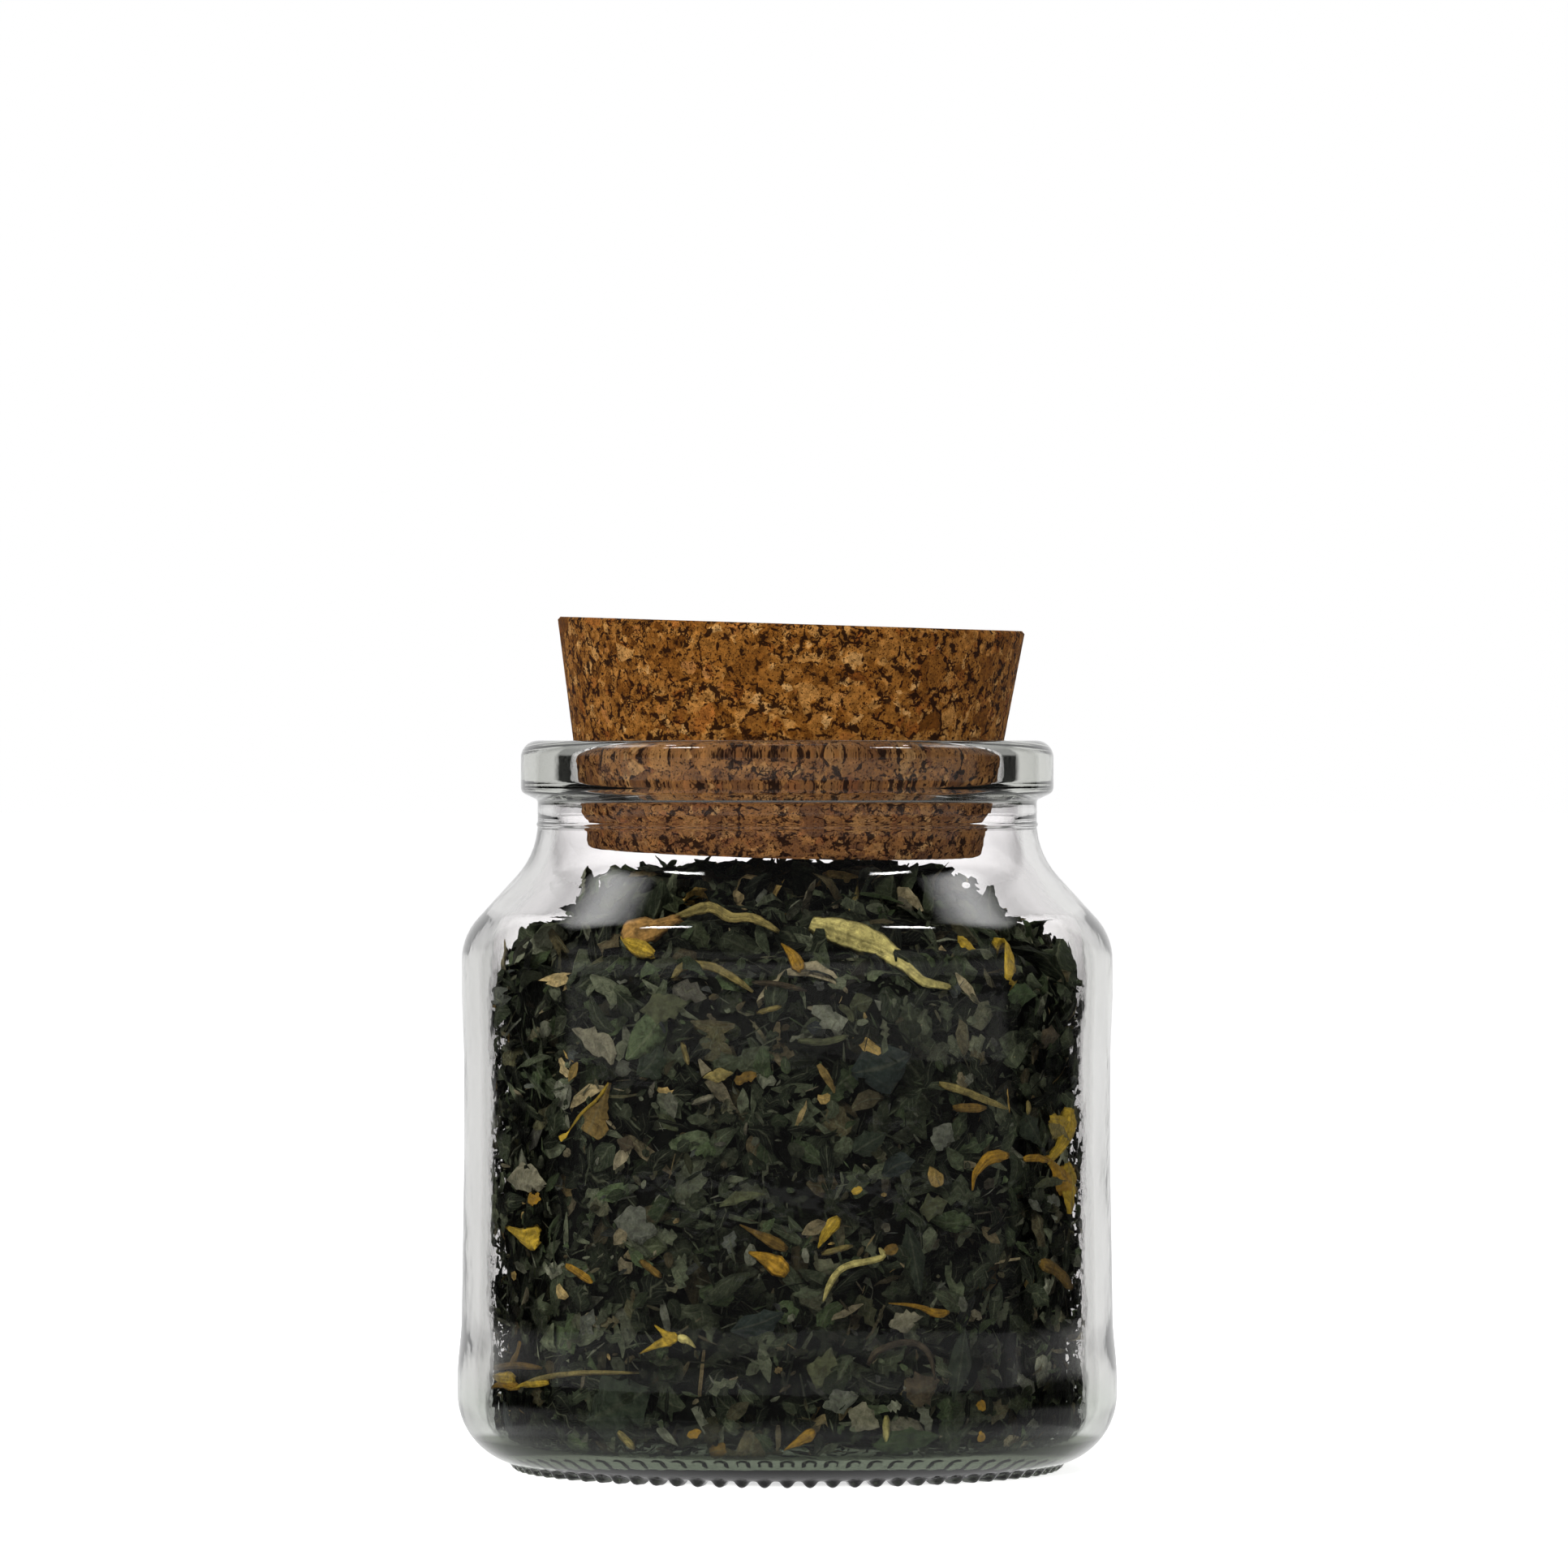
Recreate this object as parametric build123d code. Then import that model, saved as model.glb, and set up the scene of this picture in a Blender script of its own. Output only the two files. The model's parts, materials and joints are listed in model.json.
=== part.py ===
from build123d import *
import math
import os

# A round glass jar, closed by a tapered cork stopper and filled with dried leaf and petals.
# Millimetres, +Z up. The origin is the middle of the plane that the jar stands on.

# Mouth, lip and neck of the glass, from the rim down
rim_height = 93.0
bore_radius = 27.7  # the lip's bore, where the stopper seats
mouth_rounding = 1.5
bore_step = 1.86  # how much wider the neck's bore is than the lip's
bore_step_height = 1.8
bore_step_rounding = 1.8
neck_wall = 2.3
lip_proud = 2.14  # of the neck
lip_height = 6.6
lip_underside_slope_height = 1.0
lip_top_rounding = 2.2
lip_bottom_rounding = 1.0
lip_neck_rounding = 0.5
neck_height = 14.35  # from the rim to where the neck's line meets the shoulder's cone
neck_rounding = 10.2
inner_neck_rounding = 10.0
seam_drop = 10.7  # the mould's parting line on the neck, below the rim
seam_bead_radius = 0.35
seam_proud = 0.15

# Shoulder and body
shoulder_width = 9.69  # how much further out the body is than the neck
shoulder_angle = 42.5  # of the cone, from upright, in degrees
shoulder_rounding = 8.0
inner_shoulder_rounding = 6.5
shoulder_wall = 2.6
wall = 3.6
bead_height = 7.3  # of the band below the shoulder, at the body's full radius
panel_draw_height = 7.8  # from that band down to the panel
panel_sunk = 0.3  # the long band where a label would go
panel_blend = 60.0  # large radii that join body, panel and waist

# Foot and floor, from the table up
smooth_ring_height = 0.7  # of the glass between the ribs, above the table
heel_rounding = 9.0
foot_band_height = 3.4
foot_proud = 0.55  # of the body
foot_draw_height = 5.0
foot_blend = 30.0
waist_proud = 0.07  # of the body, just above the foot
waist_height = 15.0
floor_edge = 3.8  # level of the inside floor at its edge
inner_heel_rounding = 6.0
kick_land = 1.45  # flat ring round the gentle dome in the floor
kick_rise = 1.6
push_up_land = 0.45  # flat ring between the knurls and the hollow under the base
push_up_rise = 2.2

# Knurled ring that the jar stands on
rib_count = 76
rib_radius = 1.15
rib_straight_length = 4.2
rib_flat_depth = 0.1  # worn off each rib's tip
rib_inset = 7.7  # from the foot's side to the middle of the rib's outer end

# Cork stopper
stopper_insertion = 15.2  # below the rim
stopper_proud = 14.9  # above the rim
stopper_half_angle = 9.1  # of the taper, in degrees
stopper_edge = 0.4
stopper_lean_angle = 1.8  # it sits a little crooked: top towards +X, in degrees
stopper_nod_angle = 0.7  # and top towards -Y
seat_clearance = 0.45

# Filling: a packed heap of leaf, with loose pieces lying on it
leaf_room = 2.4  # between the packed heap and the glass, full of loose leaf
floor_clearance = 0.3
heap_foot_rounding = 5.0
heap_side_drop = 2.4  # from the shoulder's corner to where the heap's crown begins
headspace = 5.6  # between the heap's top and the stopper's low edge
piece_gap = 0.2  # between one layer of loose pieces and the next

# Loose leaf: broken flakes, spread evenly over the side and the crown by the golden angle
golden_angle = 137.508
# The flake's outline, as shares of its length and of its width
leaf_outline_shares = (
    (-0.5, -0.1), (-0.15, -0.5), (0.3, -0.38), (0.5, 0.12), (0.15, 0.5), (-0.25, 0.42),
)
leaf_length = 10.0
leaf_width = 5.6
leaf_thickness = 0.4
side_leaf_count = 60
crown_leaf_count = 14
crown_leaf_reach = 30.0  # from the axis to the outermost flake's middle
leaf_turn_angle = 73.0  # each flake is turned this much past the one before
shortest_leaf_share = 0.7

# Petals: straps with a narrow foot and a blunt tip, over the leaf
petal_outline_shares = (
    (-0.5, -0.15), (-0.2, -0.4), (0.2, -0.5), (0.42, -0.36), (0.5, -0.05),
    (0.44, 0.32), (0.2, 0.5), (-0.2, 0.4), (-0.5, 0.15),
)
petal_length = 19.0
petal_width = 3.4
petal_thickness = 0.4
# On the side: degrees round the jar, share of its height, degrees of turn, share of the length
side_petal_shares = (
    (-115, 0.98, 20, 0.72), (-68, 0.96, -34, 0.86), (-40, 0.93, 65, 0.52), (-128, 0.68, 60, 0.62),
    (-150, 0.10, 4, 0.95), (-97, 0.30, -42, 0.62), (-86, 0.33, 74, 0.46), (-76, 0.26, 52, 0.80),
    (-60, 0.12, -8, 0.62), (-113, 0.14, 38, 0.62), (-33, 0.43, 68, 0.82), (-46, 0.46, 18, 0.60),
    (-22, 0.74, 30, 0.60), (12, 0.35, -25, 0.80), (38, 0.72, 50, 0.66), (66, 0.18, -60, 0.74),
    (92, 0.55, 12, 0.88), (121, 0.84, -35, 0.60), (149, 0.30, 70, 0.70), (176, 0.60, -15, 0.78),
)
# On the crown: degrees round the jar, share of the reach, degrees of turn, share of the length
crown_petal_shares = (
    (-104, 0.86, 82, 1.00), (-58, 0.90, 95, 0.74), (-20, 0.55, 20, 0.80), (35, 0.88, 70, 0.90),
    (110, 0.80, -75, 0.84), (165, 0.92, 100, 0.78), (-150, 0.70, 30, 0.70),
)
crown_petal_reach = 29.0

overrun = 1.0  # how far a cut runs past what it cuts

# What follows from the sizes above
neck_bore_radius = bore_radius + bore_step
neck_radius = neck_bore_radius + neck_wall
lip_radius = neck_radius + lip_proud
lip_bottom = rim_height - lip_height
body_radius = neck_radius + shoulder_width
cavity_radius = body_radius - wall
cone_reach = math.tan(math.radians(shoulder_angle))  # inwards for each millimetre up
neck_corner = rim_height - neck_height
shoulder_corner = neck_corner - shoulder_width / cone_reach
inner_cone_shift = shoulder_wall / math.cos(math.radians(shoulder_angle))
inner_shoulder_corner = shoulder_corner + (wall - inner_cone_shift) / cone_reach
inner_neck_corner = inner_shoulder_corner + (cavity_radius - neck_bore_radius) / cone_reach
bead_bottom = shoulder_corner - bead_height
panel_radius = body_radius - panel_sunk
panel_top = bead_bottom - panel_draw_height
foot_radius = body_radius + foot_proud
foot_top = smooth_ring_height + heel_rounding + foot_band_height
waist_radius = body_radius + waist_proud
waist_bottom = foot_top + foot_draw_height
panel_bottom = waist_bottom + waist_height
kick_radius = cavity_radius - inner_heel_rounding - kick_land
rib_outer = foot_radius - rib_inset
rib_inner = rib_outer - rib_straight_length
push_up_radius = rib_inner - rib_radius - push_up_land
seat_height = rim_height - mouth_rounding
seat_radius = bore_radius - seat_clearance
stopper_height = stopper_insertion + stopper_proud
stopper_slope = math.tan(math.radians(stopper_half_angle))
stopper_bottom_radius = seat_radius - (stopper_insertion - mouth_rounding) * stopper_slope
stopper_top_radius = seat_radius + (stopper_proud + mouth_rounding) * stopper_slope
stopper_slant = math.radians(math.hypot(stopper_lean_angle, stopper_nod_angle))
stopper_low_edge = rim_height - stopper_insertion - stopper_bottom_radius * math.sin(stopper_slant)
heap_radius = cavity_radius - leaf_room
heap_bottom = floor_edge + kick_rise + floor_clearance
heap_top = stopper_low_edge - headspace
heap_side_top = shoulder_corner - heap_side_drop
crown_rise = heap_top - heap_side_top
crown_sphere_radius = (heap_radius**2 + crown_rise**2) / (2 * crown_rise)
crown_centre = heap_top - crown_sphere_radius
leaf_lift = piece_gap
petal_lift = leaf_lift + leaf_thickness + piece_gap


def turned(profile):
    """A solid of revolution from the closed line (radius, height), about the jar's axis."""
    return revolve(make_face(Plane.XZ * profile), Axis.Z)


def rounded_body(corners, roundings):
    """A turned solid from corners (radius, height), from the axis at its foot to its top."""
    side = FilletPolyline(*corners, radius=roundings)
    top_middle = (0, corners[-1][1])
    return turned(side + Polyline(side @ 1, top_middle, side @ 0))


def cap(base_radius, rise):
    """A shallow dome on the plane Z = 0, with a straight skirt below it."""
    arc_radius = (base_radius**2 + rise**2) / (2 * rise)
    dome = RadiusArc((base_radius, 0), (0, rise), -arc_radius)
    skirt = Polyline((0, rise), (0, -overrun), (base_radius, -overrun), (base_radius, 0))
    return turned(dome + skirt)


def glass_outside():
    corners = (
        (0, smooth_ring_height),
        (foot_radius, smooth_ring_height),
        (foot_radius, foot_top),
        (waist_radius, waist_bottom),
        (panel_radius, panel_bottom),
        (panel_radius, panel_top),
        (body_radius, bead_bottom),
        (body_radius, shoulder_corner),
        (neck_radius, neck_corner),
        (neck_radius, lip_bottom - lip_underside_slope_height),
        (lip_radius, lip_bottom),
        (lip_radius, rim_height),
        (bore_radius, rim_height),
    )
    roundings = [
        heel_rounding,
        foot_blend,
        foot_blend,
        panel_blend,
        panel_blend,
        panel_blend,
        shoulder_rounding,
        neck_rounding,
        lip_neck_rounding,
        lip_bottom_rounding,
        lip_top_rounding,
    ]
    return rounded_body(corners, roundings)


def glass_inside():
    """The room inside the jar, as a solid that runs out past the rim."""
    corners = (
        (0, floor_edge),
        (cavity_radius, floor_edge),
        (cavity_radius, inner_shoulder_corner),
        (neck_bore_radius, inner_neck_corner),
        (neck_bore_radius, lip_bottom - bore_step_height / 2),
        (bore_radius, lip_bottom + bore_step_height / 2),
        (bore_radius, rim_height + overrun),
    )
    roundings = [
        inner_heel_rounding,
        inner_shoulder_rounding,
        inner_neck_rounding,
        bore_step_rounding,
        bore_step_rounding,
    ]
    return rounded_body(corners, roundings)


def mouth_flare():
    """What rounding the mouth's inner edge takes away."""
    flare_radius = bore_radius + mouth_rounding
    arc = RadiusArc((bore_radius, seat_height), (flare_radius, rim_height), mouth_rounding)
    rest = Polyline(
        (flare_radius, rim_height),
        (flare_radius, rim_height + overrun),
        (bore_radius - overrun, rim_height + overrun),
        (bore_radius - overrun, seat_height),
        (bore_radius, seat_height),
    )
    return turned(arc + rest)


def rib():
    """One rib of the standing ring: a round-ended bar along +X, flat where it meets the table."""
    middle = rib_radius - rib_flat_depth
    centre = Pos((rib_inner + rib_outer) / 2, 0, middle)
    bar = centre * Rot(0, 90, 0) * Cylinder(rib_radius, rib_straight_length)
    bar += Pos(rib_inner, 0, middle) * Sphere(rib_radius)
    bar += Pos(rib_outer, 0, middle) * Sphere(rib_radius)
    underneath = (Align.MIN, Align.CENTER, Align.MAX)
    return bar - Box(2 * rib_outer, 4 * rib_radius, 2 * rib_radius, align=underneath)


def jar_glass():
    glass = glass_outside() - glass_inside() - mouth_flare()
    glass += Pos(0, 0, floor_edge) * cap(kick_radius, kick_rise)
    glass -= Pos(0, 0, smooth_ring_height) * cap(push_up_radius, push_up_rise)
    seam_radius = neck_radius + seam_proud - seam_bead_radius
    glass += Pos(0, 0, rim_height - seam_drop) * Torus(seam_radius, seam_bead_radius)
    one = rib()
    ribs = [Rot(0, 0, 360 * n / rib_count) * one for n in range(rib_count)]
    return glass.fuse(*ribs)


def seated(shape):
    """Places the stopper, whose own origin is on its axis at the seat, in the mouth."""
    return Pos(0, 0, seat_height) * Rot(stopper_nod_angle, stopper_lean_angle, 0) * shape


def cork_stopper():
    upright = (Align.CENTER, Align.CENTER, Align.MIN)
    cork = Cone(stopper_bottom_radius, stopper_top_radius, stopper_height, align=upright)
    cork = chamfer(cork.edges().filter_by(GeomType.CIRCLE), stopper_edge)
    below_seat = stopper_insertion - mouth_rounding
    return seated(Pos(0, 0, -below_seat) * cork)


def leaf_fill():
    """The packed part of the filling: round, with a domed crown."""
    side = FilletPolyline(
        (0, heap_bottom),
        (heap_radius, heap_bottom),
        (heap_radius, heap_side_top),
        radius=[heap_foot_rounding],
    )
    crown = RadiusArc((heap_radius, heap_side_top), (0, heap_top), -crown_sphere_radius)
    return turned(side + crown + Line((0, heap_top), (0, heap_bottom)))


def flake_outline(shares, length, width, turn):
    corners = [(length * along, width * across) for along, across in shares]
    return Rot(0, 0, turn) * make_face(Polyline(*corners, close=True))


def on_side(outline, lift, thickness, height_share):
    """Bends a flake's outline round the heap's side, at +X, at a share of the side's height."""
    side_foot = heap_bottom + heap_foot_rounding
    height = side_foot + height_share * (heap_side_top - side_foot)
    facing_out = Plane(origin=(0, 0, height), x_dir=(0, 1, 0), z_dir=(1, 0, 0))
    column = extrude(facing_out * outline, 2 * heap_radius)
    inner = heap_radius + lift
    ring = Cylinder(inner + thickness, 2 * heap_side_top) - Cylinder(inner, 2 * heap_side_top)
    return column & Pos(0, 0, height) * ring


def on_crown(outline, lift, thickness, reach):
    """Lays a flake flat on the heap's crown, this far from the axis towards +X."""
    slope = math.degrees(math.asin(reach / crown_sphere_radius))
    top = Pos(0, 0, crown_centre) * Rot(0, slope, 0) * Pos(0, 0, crown_sphere_radius + lift)
    return top * extrude(outline, thickness)


def leaf_outline(n):
    """The outline of the flake with this number. Their lengths vary up to leaf_length."""
    vary = (1 + math.sin(n * golden_angle)) / 2
    length = leaf_length * (shortest_leaf_share + (1 - shortest_leaf_share) * vary)
    return flake_outline(leaf_outline_shares, length, leaf_width, n * leaf_turn_angle)


def loose_leaves():
    flakes = []
    for n in range(side_leaf_count):
        height_share = (n + 0.5) / side_leaf_count
        flake = on_side(leaf_outline(n), leaf_lift, leaf_thickness, height_share)
        flakes.append(Rot(0, 0, n * golden_angle) * flake)
    for n in range(crown_leaf_count):
        reach = crown_leaf_reach * math.sqrt((n + 0.5) / crown_leaf_count)
        flake = on_crown(leaf_outline(n), leaf_lift, leaf_thickness, reach)
        flakes.append(Rot(0, 0, n * golden_angle) * flake)
    return Compound(children=flakes)


def petal_outline(length_share, turn):
    return flake_outline(petal_outline_shares, petal_length * length_share, petal_width, turn)


def flower_petals():
    petals = []
    for around, height_share, turn, length_share in side_petal_shares:
        outline = petal_outline(length_share, turn)
        petal = on_side(outline, petal_lift, petal_thickness, height_share)
        petals.append(Rot(0, 0, around) * petal)
    for around, reach_share, turn, length_share in crown_petal_shares:
        outline = petal_outline(length_share, turn)
        reach = crown_petal_reach * reach_share
        petals.append(Rot(0, 0, around) * on_crown(outline, petal_lift, petal_thickness, reach))
    return Compound(children=petals)


def save(shape, name):
    export_step(shape, os.path.join("parts", name + ".step"))


os.makedirs("parts", exist_ok=True)
save(jar_glass(), "jar_glass")
save(cork_stopper(), "cork_stopper")
save(leaf_fill(), "leaf_fill")
save(loose_leaves(), "loose_leaves")
save(flower_petals(), "flower_petals")
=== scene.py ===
import json
import math
import random

import bmesh
import bpy
import numpy as np
from mathutils import Matrix, Vector, noise

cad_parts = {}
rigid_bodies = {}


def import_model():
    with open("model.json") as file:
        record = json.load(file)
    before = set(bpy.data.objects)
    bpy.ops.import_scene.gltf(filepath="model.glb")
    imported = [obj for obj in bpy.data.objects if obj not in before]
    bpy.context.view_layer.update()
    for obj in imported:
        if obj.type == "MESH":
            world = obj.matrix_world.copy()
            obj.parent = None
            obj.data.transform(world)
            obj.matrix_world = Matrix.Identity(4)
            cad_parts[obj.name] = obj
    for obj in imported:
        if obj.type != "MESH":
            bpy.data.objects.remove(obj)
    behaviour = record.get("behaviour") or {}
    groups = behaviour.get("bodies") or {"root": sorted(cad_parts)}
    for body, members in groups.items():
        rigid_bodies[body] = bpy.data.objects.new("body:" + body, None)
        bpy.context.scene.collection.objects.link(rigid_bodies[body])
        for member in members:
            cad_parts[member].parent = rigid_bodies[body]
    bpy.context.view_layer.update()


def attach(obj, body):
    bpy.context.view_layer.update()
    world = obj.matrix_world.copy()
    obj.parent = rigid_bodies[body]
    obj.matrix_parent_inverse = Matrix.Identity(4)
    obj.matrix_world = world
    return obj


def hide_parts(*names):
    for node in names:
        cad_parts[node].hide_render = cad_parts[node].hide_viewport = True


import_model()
scene = bpy.context.scene
scene.view_settings.view_transform = "Standard"
mm = 0.001
white = (1, 1, 1, 1)


# small tools for node trees
# adds a node, sets its fields and fills or links its inputs
def place(tree, kind, inputs=None, **fields):
    made = tree.nodes.new(kind)
    for field, value in fields.items():
        setattr(made, field, value)
    for key, value in (inputs or {}).items():
        if isinstance(value, bpy.types.NodeSocket):
            tree.links.new(value, made.inputs[key])
        else:
            made.inputs[key].default_value = value
    return made


def sums(tree, operation, *values):
    return place(tree, "ShaderNodeMath", dict(enumerate(values)), operation=operation).outputs[0]


def plus(tree, one, other):
    return sums(tree, "ADD", one, other)


def minus(tree, one, other):
    return sums(tree, "SUBTRACT", one, other)


def times(tree, one, other):
    return sums(tree, "MULTIPLY", one, other)


# low to high becomes atLow to atHigh, and stays there beyond
def ranged(tree, value, low, high, atLow=0.0, atHigh=1.0):
    return place(tree, "ShaderNodeMapRange", {0: value, 1: low, 2: high, 3: atLow, 4: atHigh}).outputs[0]


def axesOf(tree, vector):
    return place(tree, "ShaderNodeSeparateXYZ", {0: vector}).outputs


def vectorSum(tree, operation, inputs):
    return place(tree, "ShaderNodeVectorMath", inputs, operation=operation)


def noiseOf(tree, spot, scale, detail=2.0, roughness=0.5, distortion=0.0):
    inputs = {"Vector": spot, "Scale": scale, "Detail": detail, "Roughness": roughness,
              "Distortion": distortion}
    return place(tree, "ShaderNodeTexNoise", inputs).outputs


def cellsOf(tree, spot, scale, feature="F1"):
    return place(tree, "ShaderNodeTexVoronoi", {"Vector": spot, "Scale": scale}, feature=feature).outputs


def attributeOf(tree, name):
    return place(tree, "ShaderNodeAttribute", attribute_name=name).outputs


def mixed(tree, share, under, over):
    return place(tree, "ShaderNodeMix", {0: share, 2: under, 3: over}).outputs[0]


def blendColour(tree, share, under, over, way="MIX"):
    inputs = {0: share, 6: under, 7: over}
    return place(tree, "ShaderNodeMix", inputs, data_type="RGBA", blend_type=way).outputs[2]


def dimmed(tree, colour, by):
    return blendColour(tree, 1.0, colour, by, "MULTIPLY")


def ramp(tree, share, stops):
    made = place(tree, "ShaderNodeValToRGB", {0: share})
    band = made.color_ramp.elements
    while len(band) < len(stops):
        band.new(0.5)
    for stop, (where, colour) in zip(band, stops):
        stop.position = where
        stop.color = (*colour, 1.0)
    return made.outputs[0]


def bumpOf(tree, strength, distance, height):
    inputs = {"Strength": strength, "Distance": distance, "Height": height}
    return place(tree, "ShaderNodeBump", inputs).outputs[0]


# a rough, bumpy surface as the whole of a material
def finishSurface(tree, colour, height, look):
    bump = bumpOf(tree, look["bumpStrength"], look["bumpDistance"], height)
    shader = place(tree, "ShaderNodeBsdfPrincipled", {
        "Base Color": colour, "Roughness": look["roughness"], "Specular IOR Level": look["specular"],
        "Normal": bump})
    place(tree, "ShaderNodeOutputMaterial", {0: shader.outputs[0]})


def newMaterial(name):
    material = bpy.data.materials.new(name)
    material.use_nodes = True
    material.node_tree.nodes.clear()
    return material, material.node_tree


# a node group with named sockets; gives the tree and what its input node puts out
def newGroup(kind, name, inputs, outputs):
    tree = bpy.data.node_groups.new(name, kind)
    for way, sockets in (("INPUT", inputs), ("OUTPUT", outputs)):
        for label, socket in sockets.items():
            tree.interface.new_socket(label, in_out=way, socket_type="NodeSocket" + socket)
    return tree, tree.nodes.new("NodeGroupInput").outputs


def grouped(tree, group, inputs):
    return place(tree, "ShaderNodeGroup", inputs, node_tree=group).outputs


def inMillimetres(tree):
    spot = place(tree, "ShaderNodeTexCoord").outputs["Object"]
    return place(tree, "ShaderNodeMapping", {0: spot, 3: (1 / mm, 1 / mm, 1 / mm)}).outputs[0]


# small tools for meshes
def asObject(name, mesh, material=None):
    made = bpy.data.objects.new(name, mesh)
    scene.collection.objects.link(made)
    if material:
        mesh.materials.append(material)
    return made


def useTree(made, tree, values):
    modifier = made.modifiers.new(tree.name, "NODES")
    modifier.node_group = tree
    for item in tree.interface.items_tree:
        if item.item_type == "SOCKET" and item.in_out == "INPUT" and item.name in values:
            modifier[item.identifier] = values[item.name]


# the evaluated result becomes a plain mesh, with no modifier left
def settle(made):
    bpy.context.view_layer.update()
    seen = made.evaluated_get(bpy.context.evaluated_depsgraph_get())
    mesh = bpy.data.meshes.new_from_object(seen)
    made.modifiers.clear()
    old = made.data
    made.data = mesh
    bpy.data.meshes.remove(old)
    mesh.name = made.name


def pointsOf(mesh):
    flat = np.empty(len(mesh.vertices) * 3, np.float32)
    mesh.vertices.foreach_get("co", flat)
    return flat.reshape(-1, 3).astype(float)


def setPoints(mesh, points):
    mesh.vertices.foreach_set("co", points.astype(np.float32).ravel())
    mesh.update()


def normalsOf(mesh):
    return np.array([vertex.normal[:] for vertex in mesh.vertices])


# moves a mesh's points in and out a little, up to depth mm
def roughen(mesh, perMillimetre, depth, seed=0):
    points = pointsOf(mesh)
    away = Vector((seed, 0, 0))
    shift = np.array([noise.noise(Vector(point) / mm * perMillimetre + away) for point in points])
    points += normalsOf(mesh) * (shift * depth * mm)[:, None]
    setPoints(mesh, points)


# (radius, height, fillet) corners in mm as one smooth line, no step longer than longest
def roundedLine(corners, longest=1.6, turnStep=6.0):
    points = [Vector(corner[:2]) for corner in corners]
    line = [points[0]]
    for before, here, after, corner in zip(points, points[1:], points[2:], corners[1:]):
        back, ahead = (before - here).normalized(), (after - here).normalized()
        turn = math.pi - back.angle(ahead)
        reach = corner[2] * math.tan(turn / 2)
        middle = here + (back + ahead).normalized() * (corner[2] / math.cos(turn / 2))
        start, end = here + back * reach - middle, here + ahead * reach - middle
        first = math.atan2(start.y, start.x)
        sweep = (math.atan2(end.y, end.x) - first + math.pi) % math.tau - math.pi
        steps = max(2, round(math.degrees(turn) / turnStep), round(corner[2] * turn / longest))
        for step in range(steps + 1):
            angle = first + sweep * step / steps
            line.append(middle + corner[2] * Vector((math.cos(angle), math.sin(angle))))
    line.append(points[-1])
    dense = [line[0]]
    for start, end in zip(line, line[1:]):
        parts = max(1, math.ceil((end - start).length / longest))
        dense += [start.lerp(end, part / parts) for part in range(1, parts + 1)]
    return [(point.x, point.y) for point in dense]


# faces between two rings, one of which may have three times the other's corners, or only one
def ringFaces(low, lowCount, high, highCount):
    if lowCount == 1:
        return [(low, high + (i + 1) % highCount, high + i) for i in range(highCount)]
    if highCount == 1:
        return [(low + i, low + (i + 1) % lowCount, high) for i in range(lowCount)]
    faces = []
    for i in range(min(lowCount, highCount)):
        if lowCount == highCount:
            after = (i + 1) % lowCount
            faces.append((low + i, low + after, high + after, high + i))
        elif highCount > lowCount:
            a, b = low + i, low + (i + 1) % lowCount
            fine = [high + (3 * i + k) % highCount for k in range(4)]
            faces += [(a, fine[1], fine[0]), (a, b, fine[2], fine[1]), (b, fine[3], fine[2])]
        else:
            a, b = high + i, high + (i + 1) % highCount
            fine = [low + (3 * i + k) % lowCount for k in range(4)]
            faces += [(fine[0], fine[1], a), (fine[1], fine[2], b, a), (fine[2], fine[3], b)]
    return faces


# a closed turned mesh from (radius mm, height mm, segments) rings, from pole to pole
def turnedMesh(name, rings, pole=1e-6):
    corners, faces, starts, counts = [], [], [], []
    for radius, height, segments in rings:
        starts.append(len(corners))
        if radius < pole:
            counts.append(1)
            corners.append((0, 0, height * mm))
            continue
        counts.append(segments)
        for turn in range(segments):
            angle = math.tau * turn / segments
            corners.append((radius * mm * math.cos(angle), radius * mm * math.sin(angle), height * mm))
    for low, lowCount, high, highCount in zip(starts, counts, starts[1:], counts[1:]):
        faces += ringFaces(low, lowCount, high, highCount)
    mesh = bpy.data.meshes.new(name)
    mesh.from_pydata(corners, [], faces)
    mesh.shade_smooth()
    return mesh


# height of a low dome, (radius, rise), above its rim
def dome(radius, cap):
    reach, rise = cap
    return rise * np.maximum(0.0, 1 - (radius / reach) ** 2)


# camera
cameraSet = {"lens": 233.8, "sensor": 36.0, "place": (-0.00041, -1.3, 0.09272),
             "tilt": math.pi / 2 - 0.004065, "clipEnd": 50, "frameWidth": 1932, "focalPixels": 12548.0}
cameraData = bpy.data.cameras.new("camera")
cameraData.lens = cameraSet["lens"]
cameraData.sensor_width = cameraSet["sensor"]
cameraData.clip_end = cameraSet["clipEnd"]
camera = bpy.data.objects.new("camera", cameraData)
camera.location = cameraSet["place"]
camera.rotation_euler = (cameraSet["tilt"], 0, 0)
scene.collection.objects.link(camera)
scene.camera = camera
print("camera set")


# light, world and floor
# brightness of each part of the studio, and the heights of the direction between which one part turns
# into the next
lightSet = {
    "worldDiffuse": 0.46, "wallFront": 0.52, "highFront": 0.07, "tableFront": 0.085,
    "studioSide": 0.004, "lowSide": 0.40, "studioBehind": 0.905, "leftShade": 0.08,
    "under": 0.60, "deepUnder": 0.70,
    "tableEdge": (-0.0155, -0.0115), "highEdge": (0.08, 0.16), "lowSideEdge": (-0.15, -0.09),
    "underEdge": (-0.45, -0.28), "deepEdge": (-0.80, -0.60),
    # degrees round the jar from the camera's side
    "frontEdge": (87.0, 91.0), "sideEdge": (135.7, 141.3), "leastFlat": 0.0001,
}
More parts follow.
